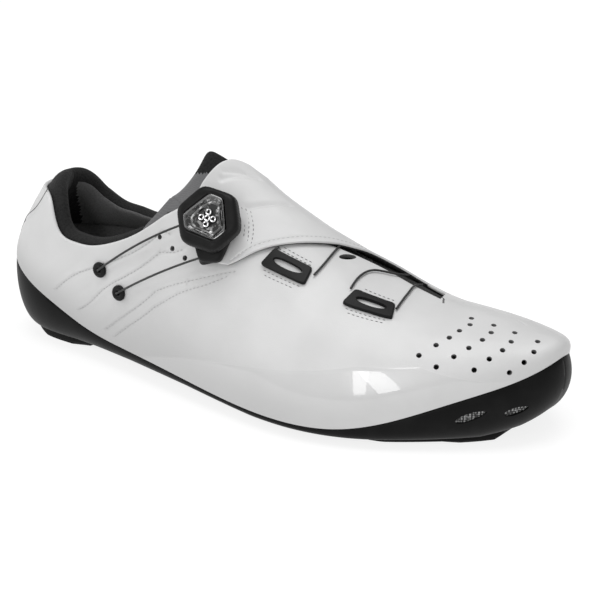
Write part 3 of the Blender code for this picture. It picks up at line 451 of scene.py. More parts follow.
def grid_faces(rows: int, columns: int, wrap_rows: bool = False, wrap_columns: bool = False) -> Array:
    """Quads between neighbouring points of a grid, row by row.

    Args:
        rows: number of rows.
        columns: number of columns.
        wrap_rows: whether the last row joins the first.
        wrap_columns: whether the last column joins the first.

    Returns:
        Four point numbers for each quad.
    """
    index = np.arange(rows * columns).reshape(rows, columns)
    if wrap_rows:
        index = np.vstack([index, index[:1]])
    if wrap_columns:
        index = np.hstack([index, index[:, :1]])
    corners = [index[:-1, :-1], index[1:, :-1], index[1:, 1:], index[:-1, 1:]]
    return np.stack(corners, axis=-1).reshape(-1, 4)


@dataclass
class Shell:
    """Points and faces gathered for one mesh, with a pair of surface values for each point."""

    points: list[Array] = field(default_factory=list)
    faces: list[Array] = field(default_factory=list)
    looks: list[Array] = field(default_factory=list)
    surface: list[Array] = field(default_factory=list)
    size: int = 0

    def add(self, points: Array, faces: Array, look: int | Array = 0, surface: Array | None = None) -> int:
        """Adds points and faces numbered from their first point.

        Args:
            points: any array that ends in three coordinates.
            faces: quads as rows of four numbers.
            look: number of the finish, one for all faces or one for each.
            surface: two values for each point, kept as the piece's own map.

        Returns:
            The number of the first point added.
        """
        first = self.size
        flat = np.asarray(points, float).reshape(-1, 3)
        self.points.append(flat)
        self.faces.append(np.asarray(faces, int) + first)
        self.looks.append(np.broadcast_to(np.asarray(look, int), (len(faces),)))
        blank = np.zeros((len(flat), 2))
        self.surface.append(blank if surface is None else np.asarray(surface, float).reshape(-1, 2))
        self.size += len(flat)
        return first

    def loop_cap(self, ring: Array, look: int = 0) -> None:
        """Closes a ring of points with a band half way in and a fan about its middle.

        Args:
            ring: the points, one row each.
            look: number of the finish.
        """
        ring = np.asarray(ring, float).reshape(-1, 3)
        middle = ring.mean(axis=0, keepdims=True)
        count = len(ring)
        inner = middle + (ring - middle) * 0.5
        turn = np.arange(count)
        after = (turn + 1) % count
        band = np.stack([turn, after, count + after, count + turn], axis=-1)
        hub = np.full(count, 2 * count)
        fan = np.stack([count + turn, count + after, hub, hub], axis=-1)
        self.add(np.concatenate([ring, inner, middle]), np.concatenate([band, fan]), look)

    def capped(self, rings: Array, look: int | Array = 0, ends: int = 0) -> None:
        """Adds a closed form of rings: quads between them and a cap on the first and the last.

        Args:
            rings: points as rings, each of the same count.
            look: number of the finish, one for all faces or one for each.
            ends: number of the caps' finish.
        """
        self.add(rings, grid_faces(*rings.shape[:2], wrap_columns=True), look)
        self.loop_cap(rings[0], ends)
        self.loop_cap(rings[-1], ends)

    def build(self, name: str, looks: list[bpy.types.Material], weld: float = 1e-6,
              sharp: float = 45.0) -> bpy.types.Object:
        """One object at the origin, welded, faced outward and shaded smooth up to an angle.

        Args:
            name: name of the piece.
            looks: its finishes, in the order of their numbers.
            weld: distance under which points are joined.
            sharp: angle in degrees past which an edge stays sharp.

        Returns:
            The new object, with its own map named last.
        """
        mesh = bpy.data.meshes.new(name)
        points = np.concatenate(self.points)
        faces = np.concatenate(self.faces)
        rows = [list(dict.fromkeys(face)) for face in faces.tolist()]
        mesh.from_pydata(points.tolist(), [], rows)
        mesh.polygons.foreach_set("material_index", np.concatenate(self.looks).astype(np.int32))
        corner = np.zeros(len(mesh.loops), np.int32)
        mesh.loops.foreach_get("vertex_index", corner)
        layer = mesh.uv_layers.new(name="last")
        layer.data.foreach_set("uv", np.concatenate(self.surface)[corner].astype(np.float32).ravel())
        work = bmesh.new()
        work.from_mesh(mesh)
        bmesh.ops.remove_doubles(work, verts=work.verts, dist=weld)
        bmesh.ops.dissolve_degenerate(work, edges=work.edges, dist=weld)
        bmesh.ops.recalc_face_normals(work, faces=work.faces)
        work.to_mesh(mesh)
        work.free()
        mesh.shade_smooth()
        mesh.set_sharp_from_angle(angle=math.radians(sharp))
        for look in looks:
            mesh.materials.append(look)
        made = bpy.data.objects.new(name, mesh)
        bpy.context.scene.collection.objects.link(made)
        log.info("%s: %d faces", name, len(mesh.polygons))
        return made


def sheet_between(shell: Shell, outer: Array, inner: Array, looks: tuple[int, int, int] = (0, 0, 0),
                  surface: Array | None = None, roll: int = 3) -> None:
    """Closed solid between two grids of the same size, its four edges rolled half round.

    Args:
        shell: gathers the faces.
        outer: grid of outer points.
        inner: grid of inner points.
        looks: finish of the outer face, the edge and the inner face.
        surface: map of the grid.
        roll: number of rings in the rolled edge.
    """
    rows, columns = outer.shape[:2]
    faces = grid_faces(rows, columns)
    shell.add(outer, faces, looks[0], surface)
    shell.add(inner, faces[:, ::-1], looks[2], surface)
    top = [(0, j) for j in range(columns)] + [(i, columns - 1) for i in range(1, rows)]
    back = [(rows - 1, j) for j in range(columns - 2, -1, -1)] + [(i, 0) for i in range(rows - 2, 0, -1)]
    around = np.array(top + back)
    i, j = around[:, 0], around[:, 1]
    deep = (np.where(i == 0, 1, np.where(i == rows - 1, rows - 2, i)),
            np.where(j == 0, 1, np.where(j == columns - 1, columns - 2, j)))
    out = unit(outer[i, j] - outer[deep])
    rings = half_round(outer[i, j], inner[i, j], out, roll + 2)
    count = len(around)
    share = np.repeat(np.arange(roll + 1) >= (roll + 1) / 2, count)
    shell.add(rings, grid_faces(roll + 2, count, wrap_columns=True), np.where(share, looks[2], looks[1]),
              None if surface is None else np.broadcast_to(surface[i, j], (roll + 2, count, 2)))


def tube(shell: Shell, path: Array, radius: float, sides: int, look: int = 0) -> None:
    """Round tube along a path, capped: at each point a circle in the plane square to the path.

    Args:
        shell: gathers the faces.
        path: points along the middle.
        radius: radius of the tube.
        sides: points in each circle.
        look: number of the finish.
    """
    path = np.asarray(path, float)
    tangent = unit(np.gradient(path, axis=0))
    helper = np.where(np.abs(tangent[:, 2:3]) > 0.9, np.array([1.0, 0.0, 0.0]), UP)
    side = unit(np.cross(tangent, helper))
    rise = np.cross(side, tangent)
    angle = turns(sides)
    ring = side[:, None] * np.cos(angle)[:, None] + rise[:, None] * np.sin(angle)[:, None]
    surface = np.stack(np.broadcast_arrays(chords(path)[:, None], (angle / math.tau)[None, :]), axis=-1)
    points = path[:, None] + ring * radius
    shell.add(points, grid_faces(len(path), sides, wrap_columns=True), look, surface)
    shell.loop_cap(points[0], look)
    shell.loop_cap(points[-1], look)


def turned(profile: Any, sides: int, outline: Array | float = 1.0) -> Array:
    """Profile turned round Z: its radius times the outline's at each angle, at its own height.

    Args:
        profile: radius and height of each row.
        sides: points in each ring.
        outline: factor of the radius, one for all angles or one for each.

    Returns:
        One ring of points for each row.
    """
    rows = np.asarray(profile, float)
    angle = turns(sides)
    reach = rows[:, :1] * np.broadcast_to(outline, (sides,))
    height = np.broadcast_to(rows[:, 1:2], reach.shape)
    return np.stack([reach * np.cos(angle), reach * np.sin(angle), height], axis=-1)


def moved(matrix: Array, points: Array) -> Array:
    """Points taken through a 4 by 4 matrix."""
    return points @ matrix[:3, :3].T + matrix[:3, 3]


def cut_away(made: bpy.types.Object, cutters: Shell, look: bpy.types.Material, sharp: float) -> None:
    """Cuts closed forms out of a piece with one exact Boolean.

    Args:
        made: the piece that is cut.
        cutters: the closed forms.
        look: finish of the cut faces.
        sharp: angle in degrees past which an edge stays sharp.
    """
    cutter = cutters.build(f"{made.name}_cutter", [look])
    change = made.modifiers.new("holes", "BOOLEAN")
    change.operation = "DIFFERENCE"
    change.solver = "EXACT"
    change.object = cutter
    with bpy.context.temp_override(object=made):
        bpy.ops.object.modifier_apply(modifier=change.name)
    bpy.data.objects.remove(cutter, do_unlink=True)
    made.data.set_sharp_from_angle(angle=math.radians(sharp))


# Shader sums


@dataclass
class Value:
    """One number in a node graph; sums on it add its Math nodes."""

    graph: "Graph"
    socket: bpy.types.NodeSocket

    def math(self, operation: str, *others: Any) -> "Value":
        """A Math node of this value and the others."""
        return self.graph.value("ShaderNodeMath", {"operation": operation}, {
            k: other for k, other in enumerate((self, *others))})

    def __add__(self, other: Any) -> "Value":
        """Sum."""
        return self.math("ADD", other)

    __radd__ = __add__

    def __mul__(self, other: Any) -> "Value":
        """Product."""
        return self.math("MULTIPLY", other)

    __rmul__ = __mul__

    def __sub__(self, other: Any) -> "Value":
        """Difference."""
        return self.math("SUBTRACT", other)

    def __rsub__(self, other: Any) -> "Value":
        """Reflected difference, as in 1 - mask."""
        return self.graph.value("ShaderNodeMath", {"operation": "SUBTRACT"}, {0: other, 1: self})

    def __truediv__(self, other: Any) -> "Value":
        """Quotient."""
        return self.math("DIVIDE", other)

    def clamp(self) -> "Value":
        """The value held between 0 and 1."""
        return self.graph.value("ShaderNodeClamp", {}, {"Value": self})

    def ramp(self, low: float, high: float) -> "Value":
        """Soft step from 0 at low to 1 at high."""
        return self.graph.value("ShaderNodeMapRange", {"interpolation_type": "SMOOTHSTEP"}, {
            "Value": self, "From Min": low, "From Max": high})


class Graph:
    """Node graph of one material around its Principled shader."""

    def __init__(self, name: str) -> None:
        """Starts the material and keeps its shader."""
        self.material = bpy.data.materials.new(name)
        self.material.use_nodes = True
        self.tree = self.material.node_tree
        self.shader = self.tree.nodes["Principled BSDF"]

    def node(self, kind: str, settings: dict[str, Any], inputs: dict[Any, Any]) -> bpy.types.Node:
        """Adds a node.

        Args:
            kind: Blender's name of the node type.
            settings: properties set before its sockets.
            inputs: values or links by the socket's name or number.

        Returns:
            The node.
        """
        made = self.tree.nodes.new(kind)
        for key, value in settings.items():
            setattr(made, key, value)
        for key, value in inputs.items():
            self.feed(made.inputs[key], value)
        return made

    def feed(self, socket: bpy.types.NodeSocket, value: Any) -> None:
        """Links or sets one socket."""
        if isinstance(value, Value):
            self.tree.links.new(value.socket, socket)
        elif isinstance(value, bpy.types.NodeSocket):
            self.tree.links.new(value, socket)
        else:
            socket.default_value = value

    def value(self, kind: str, settings: dict[str, Any], inputs: dict[Any, Any], output: Any = 0) -> Value:
        """Adds a node and wraps one of its outputs."""
        return Value(self, self.node(kind, settings, inputs).outputs[output])

    def place(self) -> bpy.types.NodeSocket:
        """Object coordinates."""
        return self.node("ShaderNodeTexCoord", {}, {}).outputs["Object"]

    def map(self) -> tuple[Value, Value]:
        """The two values of the piece's own map."""
        coordinates = self.node("ShaderNodeUVMap", {"uv_map": "last"}, {}).outputs["UV"]
        parts = self.node("ShaderNodeSeparateXYZ", {}, {0: coordinates})
        return Value(self, parts.outputs[0]), Value(self, parts.outputs[1])

    def noise(self, scale: float, detail: float = 2.0, rough: float = 0.5) -> Value:
        """Noise from 0 to 1 on Object coordinates."""
        return self.value("ShaderNodeTexNoise", {}, {
            "Vector": self.place(), "Scale": scale, "Detail": detail, "Roughness": rough}, "Fac")

    def cells(self, scale: float, random: float = 1.0) -> Value:
        """Distance to the nearest cell's middle."""
        return self.value("ShaderNodeTexVoronoi", {"feature": "F1"}, {
            "Vector": self.place(), "Scale": scale, "Randomness": random}, "Distance")

    def mix(self, share: Value, first: Any, second: Any) -> bpy.types.NodeSocket:
        """Mix of two colours.

        Args:
            share: share of the second.
            first: a colour, or a link to one.
            second: a colour, or a link to one.

        Returns:
            A link to the mixed colour.
        """
        ends = [(*end, 1.0) if isinstance(end, tuple) else end for end in (first, second)]
        inputs = {0: share, 6: ends[0], 7: ends[1]}
        return self.node("ShaderNodeMix", {"data_type": "RGBA"}, inputs).outputs[2]

    def bump(self, height: Value, distance: float, strength: Value | float,
             below: bpy.types.NodeSocket | None = None) -> bpy.types.NodeSocket:
        """Bump of a height.

        Args:
            height: the height, from 0 to 1.
            distance: what 1 stands for, in metres.
            strength: share of the bump that shows.
            below: another bump under this one.

        Returns:
            A link to the normal.
        """
        inputs: dict[str, Any] = {"Height": height, "Distance": distance, "Strength": strength}
        if below is not None:
            inputs["Normal"] = below
        return self.node("ShaderNodeBump", {}, inputs).outputs["Normal"]

    def dress(self, **sockets: Any) -> bpy.types.Material:
        """Sets the shader's sockets by their names, with spaces for underscores."""
        for key, value in sockets.items():
            self.feed(self.shader.inputs[key.replace("_", " ")], value)
        return self.material


@dataclass(frozen=True)
class CoatedWhite:
    """White coated synthetic: even and glossy, with a fine grain and a faint large unevenness."""

    white: tuple[float, float, float] = (0.615, 0.615, 0.615)
    shade: tuple[float, float, float] = (0.575, 0.575, 0.575)
    # Painted shade: the darker colour towards the sole's edge line
    low: tuple[float, float, float] = (0.44, 0.44, 0.44)
    roughness: float = 0.46

    def build(self, name: str) -> bpy.types.Material:
        """Base colour varied by broad noise and darkened towards the sole's edge line as painted shade; grain
        and unevenness as two bumps; glossier under the film.

        The film's mask is the place beyond its edge line, the highest of three straight lines in s.
        """
        graph = Graph(name)
        s, g = graph.map()
        edge = (s * -Upper.FILM_REAR[1] + Upper.FILM_REAR[0]).math("MAXIMUM", Upper.FILM_TOP)
        edge = edge.math("MAXIMUM", s * Upper.FILM_TOE[1] + Upper.FILM_TOE[0])
        film = ((g * -1.0) - edge).ramp(-0.004, 0.010)
        # Mask of the painted shade near the edge line with the sole, mostly fading out towards the toe
        near_sole_painted_shade = g.math("ABSOLUTE").ramp(0.66, 1.0) * (1.0 - s.ramp(0.55, 0.78) * 0.85)
        broad = graph.noise(38.0, 3.0)
        grain = graph.cells(1500.0)
        uneven = graph.bump(graph.noise(110.0, 2.0), 0.0008, 0.22 - film * 0.14)
        normal = graph.bump(grain, 0.00008, 0.30 - film * 0.22, uneven)
        tone = graph.mix(broad.ramp(0.35, 0.75), self.white, self.shade)
        rough = self.roughness + graph.noise(300.0, 2.0) * 0.08 - film * 0.28
        return graph.dress(
            Base_Color=graph.mix(near_sole_painted_shade, tone, self.low), Roughness=rough, Normal=normal,
            Coat_Weight=0.10 + film * 0.90, Coat_Roughness=0.02, IOR=1.45)


@dataclass(frozen=True)
class PaddedCloth:
    """Black or dark knitted cloth over padding."""

    dark: tuple[float, float, float] = (0.006, 0.006, 0.006)
    light: tuple[float, float, float] = (0.018, 0.018, 0.018)
    pitch: float = 1100.0

    def build(self, name: str) -> bpy.types.Material:
        """Cells as loops of the knit, soft roughness and sheen."""
        graph = Graph(name)
        knit = graph.cells(self.pitch)
        soft = graph.noise(260.0, 3.0)
        normal = graph.bump(knit, 0.0004, 0.6, graph.bump(soft, 0.0006, 0.4))
        return graph.dress(
            Base_Color=graph.mix((knit * 1.3 + soft * 0.4).clamp(), self.dark, self.light),
            Roughness=0.92, Normal=normal, Specular_IOR_Level=0.2, Sheen_Weight=0.06, Sheen_Roughness=0.4)


@dataclass(frozen=True)
class GreyMesh:
    """Mid grey cloth: fine even threads with a soft unevenness."""

    thread: tuple[float, float, float] = (0.165, 0.165, 0.168)
    ground: tuple[float, float, float] = (0.115, 0.115, 0.118)
    pitch: float = 2300.0

    def build(self, name: str) -> bpy.types.Material:
        """Cells without disorder make the net's holes."""
        graph = Graph(name)
        net = graph.cells(self.pitch, 0.25)
        return graph.dress(
            Base_Color=graph.mix(net.ramp(0.15, 0.6), self.thread, self.ground),
            Roughness=0.8, Normal=graph.bump(net, 0.0002, 0.4), Sheen_Weight=0.1)


@dataclass(frozen=True)
class Moulded:
    """Black moulded plastic, composite or rubber with a fine spark-eroded grain."""

    colour: tuple[float, float, float] = (0.012, 0.012, 0.012)
    worn: tuple[float, float, float] = (0.022, 0.022, 0.022)
    roughness: float = 0.38
    grain: float = 2600.0
    depth: float = 0.00006
    shine: float = 0.25

    def build(self, name: str) -> bpy.types.Material:
        """Noise as grain in the bump, the colour and the roughness."""
        graph = Graph(name)
        fine = graph.noise(self.grain, 2.0)
        broad = graph.noise(90.0, 3.0)
        return graph.dress(
            Base_Color=graph.mix(broad.ramp(0.4, 0.7), self.colour, self.worn),
            Roughness=self.roughness + broad * 0.10, Normal=graph.bump(fine, self.depth, 0.5),
            Specular_IOR_Level=self.shine)


@dataclass(frozen=True)
class BrightMetal:
    """Polished metal with faint turning marks."""

    colour: tuple[float, float, float] = (0.80, 0.80, 0.81)
    roughness: float = 0.16

    def build(self, name: str) -> bpy.types.Material:
        """Noise varies the gloss."""
        graph = Graph(name)
        marks = graph.noise(1800.0, 2.0)
        return graph.dress(Base_Color=(*self.colour, 1.0), Metallic=1.0,
                           Roughness=self.roughness + marks * 0.12, Normal=graph.bump(marks, 0.00003, 0.4))


@dataclass(frozen=True)
class ClearWindow:
    """Clear moulded window over a dark works: dark facets broken by bright streaks, painted glints that are
    also partly metallic.
    """

    dark: tuple[float, float, float] = (0.012, 0.012, 0.012)
    # Colour of the painted glints
    bright: tuple[float, float, float] = (0.60, 0.60, 0.60)

    def build(self, name: str) -> bpy.types.Material:
        """Noise drawn to a hard ramp sets the streaks of painted glint, bright in colour and partly metallic,
        under a polished coat.
        """
        graph = Graph(name)
        painted_glint = graph.noise(300.0, 3.0, 0.6).ramp(0.52, 0.66)
        return graph.dress(Base_Color=graph.mix(painted_glint, self.dark, self.bright), Metallic=painted_glint * 0.8,
                           Roughness=0.12, Coat_Weight=1.0, Coat_Roughness=0.03,
                           Normal=graph.bump(graph.noise(700.0, 2.0), 0.0002, 0.5))


@dataclass(frozen=True)
class Cable:
    """Thin coated steel cable: strands wound round it."""

    colour: tuple[float, float, float] = (0.030, 0.030, 0.030)
    pitch: float = 0.0022

    def build(self, name: str) -> bpy.types.Material:
        """The strand's height is a sine of the length along the cable plus the turn round it."""
        graph = Graph(name)
        length, turn = graph.map()
        strand = (length * (math.tau / self.pitch) + turn * (math.tau * 3)).math("SINE")
        return graph.dress(Base_Color=(*self.colour, 1.0), Metallic=0.3, Roughness=0.35,
                           Normal=graph.bump(strand, 0.0001, 0.6))


@dataclass(frozen=True)
class Thread:
    """Stitching thread."""

    colour: tuple[float, float, float] = (0.50, 0.50, 0.50)

    def build(self, name: str) -> bpy.types.Material:
        """Fine noise as the twist of the yarn."""
        graph = Graph(name)
        twist = graph.noise(4000.0, 1.0)
        return graph.dress(Base_Color=graph.mix(twist, self.colour, tuple(c * 0.75 for c in self.colour)),
                           Roughness=0.8, Normal=graph.bump(twist, 0.0001, 0.5))


class Finish(Enum):
    """The shoe's finishes."""

    WHITE = CoatedWhite()
    PADDING = PaddedCloth()
    LINING = PaddedCloth((0.120, 0.120, 0.120), (0.170, 0.170, 0.170), 1500.0)
    # Dark cloth of the flap's underside; on the inner half of its rolled edge it is a painted shadow line
    # under the flap's edge
    DARK_UNDERSIDE_PAINTED_SHADOW = PaddedCloth((0.020, 0.020, 0.020), (0.035, 0.035, 0.035), 2500.0)
    GREY = GreyMesh()
    SCREEN = GreyMesh((0.42, 0.42, 0.42), (0.010, 0.010, 0.010), 1000.0)
    BEVEL = BrightMetal((0.20, 0.20, 0.20), 0.22)
    COMPOSITE = Moulded((0.004, 0.004, 0.004), (0.007, 0.007, 0.007), 0.40, shine=0.10)
    RUBBER = Moulded((0.004, 0.004, 0.004), (0.007, 0.007, 0.007), 0.60, 1800.0, 0.0001, 0.10)
    PLASTIC = Moulded((0.005, 0.005, 0.005), (0.009, 0.009, 0.009), 0.40, shine=0.17)
    GLASS = ClearWindow()
    METAL = BrightMetal()
    CABLE = Cable()
    THREAD = Thread()
    DARK_THREAD = Thread((0.150, 0.150, 0.150))

    @property
    def material(self) -> bpy.types.Material:
        """This finish's material, made once."""
        name = f"{self.name.lower()}_finish"
        return bpy.data.materials.get(name) or self.value.build(name)


def placed(piece: bpy.types.Object, slot: str, *nodes: str) -> bpy.types.Object:
    """Puts a piece on the shoe's body and hides the nodes that it stands for.

    Args:
        piece: the piece.
        slot: not used.
        nodes: names of the nodes.

    Returns:
        The same piece.
    """
    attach(piece, "root")
    if nodes:
        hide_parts(*nodes)
    return piece


# The upper and what lies on it


def line_distance(s: Array, g: Array, rows: Any) -> tuple[Array, Array]:
    """Distance on the flattened form to a smooth line.

    Args:
        s: stations of the points.
        g: their places across.
        rows: places that the line runs through.

    Returns:
        The distance to the nearest point of the line, and whether the point lies on its outer side.
    """
    scale = np.array([LAST.length, LAST.ball_width])
    path = through(rows, 60) * scale
    place = np.stack([s, g], axis=-1) * scale
    gap = np.linalg.norm(place[..., None, :] - path, axis=-1)
    nearest = gap.argmin(axis=-1)
    ahead, offset = np.gradient(path, axis=0)[nearest], place - path[nearest]
    return gap.min(axis=-1), ahead[..., 0] * offset[..., 1] < ahead[..., 1] * offset[..., 0]


@dataclass
class Upper:
    """Hollow coated shell with its collar, throat and open underside."""

    wall: float = 0.0018
    gap: float = 0.0003
    columns: int = 340
    rows: int = 92
    inner_rows: int = 14
    film_rise: float = 0.00022
    toe_hole_radius: float = 0.00105
    pin_hole_radius: float = 0.0011
    slot_half_width: float = 0.0018
    slit_radius: float = 0.00045
    seam_groove: float = 0.45 * MM
    seam_ridge: float = 0.10 * MM
    seam_width: float = 1.1 * MM
    line_groove: tuple[float, float] = (0.25 * MM, 0.55 * MM)
    line_width: float = 0.9 * MM
    FILM_REAR: ClassVar[tuple[float, float]] = (1.330, 1.018)
    FILM_TOP: ClassVar[float] = 0.612
    FILM_TOE: ClassVar[tuple[float, float]] = (-1.560, 2.75)
    SEAMS: ClassVar[tuple[Rows, ...]] = (
        ((0.156, -0.858), (0.175, -0.740), (0.207, -0.648), (0.269, -0.590), (0.325, -0.578),
         (0.374, -0.556)),
        ((0.202, -0.887), (0.230, -0.787), (0.271, -0.688), (0.325, -0.648), (0.380, -0.600),
         (0.404, -0.553)),
        ((0.258, -0.931), (0.290, -0.849), (0.349, -0.751), (0.396, -0.675), (0.471, -0.516),
         (0.493, -0.462)),
        ((0.276, -0.951), (0.306, -0.878), (0.371, -0.762), (0.408, -0.685), (0.451, -0.591),
         (0.482, -0.503)),
    )
    LINES: ClassVar[tuple[Rows, ...]] = (
        ((0.790, 0.060), (0.830, 0.150), (0.880, 0.200), (0.935, 0.190)),
        ((0.030, -0.690), (0.060, -0.560), (0.071, -0.450), (0.075, -0.330)),
    )
    SLOT: ClassVar[Rows] = ((0.6065, -0.066), (0.6195, 0.018))
    SLIT_TIP: ClassVar[Rows] = ((0.764, 0.060), (0.775, 0.040), (0.783, 0.005), (0.787, -0.030))
    TOE_HOLES: ClassVar[Rows] = (
        (0.840, -0.110), (0.838, -0.185), (0.825, -0.265), (0.815, -0.345), (0.802, -0.425), (0.785, -0.520),
        (0.878, -0.150), (0.870, -0.250), (0.858, -0.345), (0.843, -0.440), (0.828, -0.530), (0.810, -0.620),
        (0.915, -0.230), (0.902, -0.370), (0.890, -0.485), (0.875, -0.585), (0.860, -0.695),
        (0.955, -0.420), (0.943, -0.605), (0.930, -0.740), (0.912, -0.830),
    )
    PIN_HOLES: ClassVar[Rows] = ((0.355, -0.581), (0.383, -0.590), (0.408, -0.581))
    # Soft troughs and ridges: station, place across, half length, half width, turn, rise in mm
    FOLDS: ClassVar[Rows] = (
        (0.30, -0.80, 0.030, 0.0045, 0.9, -0.30), (0.36, -0.86, 0.035, 0.0050, 0.7, -0.25),
        (0.42, -0.83, 0.030, 0.0055, 0.5, 0.25), (0.24, -0.86, 0.020, 0.0040, 1.1, 0.25),
        (0.55, -0.62, 0.030, 0.0060, 0.2, -0.20), (0.62, -0.55, 0.035, 0.0060, 0.1, 0.20),
        (0.76, -0.30, 0.020, 0.0050, 1.4, -0.22), (0.77, 0.30, 0.020, 0.0050, 1.7, -0.22),
        (0.40, 0.80, 0.040, 0.0060, 0.6, -0.25), (0.30, 0.75, 0.030, 0.0050, 0.9, 0.25),
        (0.215, -0.735, 0.011, 0.0018, 0.9, -0.35), (0.235, -0.700, 0.009, 0.0015, 0.8, -0.30),
        (0.250, -0.790, 0.010, 0.0017, 0.9, -0.35), (0.262, -0.835, 0.012, 0.0018, 1.0, 0.25),
        (0.305, -0.775, 0.012, 0.0020, 0.8, -0.25), (0.160, -0.770, 0.012, 0.0020, 1.1, -0.22),
        (0.135, -0.780, 0.014, 0.0022, 1.2, 0.20), (0.185, -0.650, 0.012, 0.0018, 1.0, -0.20),
    )

    def stations(self) -> Array:
        """Columns from heel to toe, with one at the collar's end and one at the slit's end."""
        marks = (0.0, LAST.COLLAR_END, LAST.SLIT_END, 1.0)
        runs = [np.linspace(start, end, max(2, round((end - start) * self.columns)) + 1)[:-1]
                for start, end in zip(marks, marks[1:])]
        return np.concatenate(runs + [np.array([1.0])])

    def relief(self, s: Array, g: Array) -> Array:
        """Height of folds and seams: bells along short lines, less a narrow groove beside each seam.

        Args:
            s: stations.
            g: places across.

        Returns:
            The height over the form, with the film's own thickness beyond its edge.
        """
        along, over = s * LAST.length, g * LAST.ball_width
        height = np.zeros_like(s)
        for station, place, length, width, turn, rise in self.FOLDS:
            x, y = along - station * LAST.length, over - place * LAST.ball_width
            u, v = x * math.cos(turn) + y * math.sin(turn), y * math.cos(turn) - x * math.sin(turn)
            height += rise * MM * bell(u, length) * bell(v, width)
        for seam in self.SEAMS:
            reach, below = line_distance(s, g, seam)
            height += np.where(below, -self.seam_groove, self.seam_ridge) * bell(reach, self.seam_width)
        for line in self.LINES:
            reach, below = line_distance(s, g, line)
            height -= np.where(below, *self.line_groove) * bell(reach, self.line_width)
        edge = np.maximum(np.maximum(self.FILM_REAR[0] - self.FILM_REAR[1] * s, self.FILM_TOP),
                          self.FILM_TOE[0] + self.FILM_TOE[1] * s)
        return height + self.film_rise * smooth((-g - edge) / 0.018)

    def build(self) -> bpy.types.Object:
        """Both sides as grids from the hem to the quarter's edge, a rolled rim, and the inner face."""
        shell = Shell()
        s = self.stations()
        open_column = s <= LAST.SLIT_END + 1e-9
        share = np.linspace(0, 1, self.rows + 1)
        sparse = np.round(np.linspace(0, self.rows, self.inner_rows + 1)).astype(int)
        kept: list[Array] = []
        for side in (-1.0, 1.0):
            top = LAST.quarter_edge(s, side)
            g = side + (top[:, None] - side) * share
            grid = np.broadcast_to(s[:, None], g.shape)
            face = LAST.form(grid, g)
            normal = LAST.normal(grid, g)
            if side > 0:
                face[-1], normal[-1] = kept[0][-1], kept[1][-1]
            kept = [face, normal] if side < 0 else kept
            face[:, 0, 2] += self.gap
            edge_fade = smooth((1 - np.abs(g)) / 0.08) * smooth(np.abs(g - top[:, None]) / 0.05 + 0.3)
            fade = edge_fade * smooth(grid / 0.05) * smooth((1 - grid) / 0.06)
            outer = face + normal * (self.relief(grid, g) * fade)[..., None]
            inner = (face - normal * self.wall)[:, sparse]
            surface = np.stack([grid, g], axis=-1)
            shell.add(outer, grid_faces(*g.shape), 0, surface)
            shell.add(inner, grid_faces(*inner.shape[:2]), 1, surface[:, sparse])
            hem = np.stack([outer[:, 0], inner[:, 0]])
            shell.add(hem, grid_faces(2, len(s)), 1)
            edge, back = outer[open_column], inner[open_column]
            rim = half_round(edge[:, -1], back[:, -1], unit(edge[:, -1] - edge[:, -2]), 5, 0.7)
            shell.add(rim, grid_faces(*rim.shape[:2]), 0,
                      np.broadcast_to(surface[open_column, -1], (*rim.shape[:2], 2)))
        made = shell.build("upper_shell", [Finish.WHITE.material, Finish.LINING.material], 2e-5, 50)
        self.cut_holes(made)
        return placed(made, "coated_white", "upper")

    def cut_holes(self, made: bpy.types.Object) -> None:
        """Cuts the toe's holes, the pin holes, the slot by the flap's edge and the tip of the slit."""
        shell = Shell()
        depth = self.wall * 2.2
        round_holes = ((self.TOE_HOLES, self.toe_hole_radius), (self.PIN_HOLES, self.pin_hole_radius))
        for places, radius in round_holes:
            wide = radius * 1.2
            for place in places:
                ring = turned(((wide, depth), (wide, 0.0001), (radius, -0.0002), (radius, -depth)), 14)
                shell.capped(moved(LAST.seat(place), ring))
        start, end = (LAST.form(*np.array(place)) for place in self.SLOT)
        middle = tuple((np.array(self.SLOT[0]) + np.array(self.SLOT[1])) / 2)
        local = LAST.seat(middle)[:3, :3].T @ (end - start)
        size = (np.linalg.norm(local) / 2, self.slot_half_width, 1.0)
        slot = turned(((1.0, depth), (1.0, -depth)), 24) * size
        shell.capped(moved(LAST.seat(middle, math.atan2(local[1], local[0])), slot))
        tip = through(self.SLIT_TIP, 24)
        tube(shell, LAST.over(tip[:, 0], tip[:, 1], 0.0), self.slit_radius, 8)
        cut_away(made, shell, Finish.LINING.material, 50)


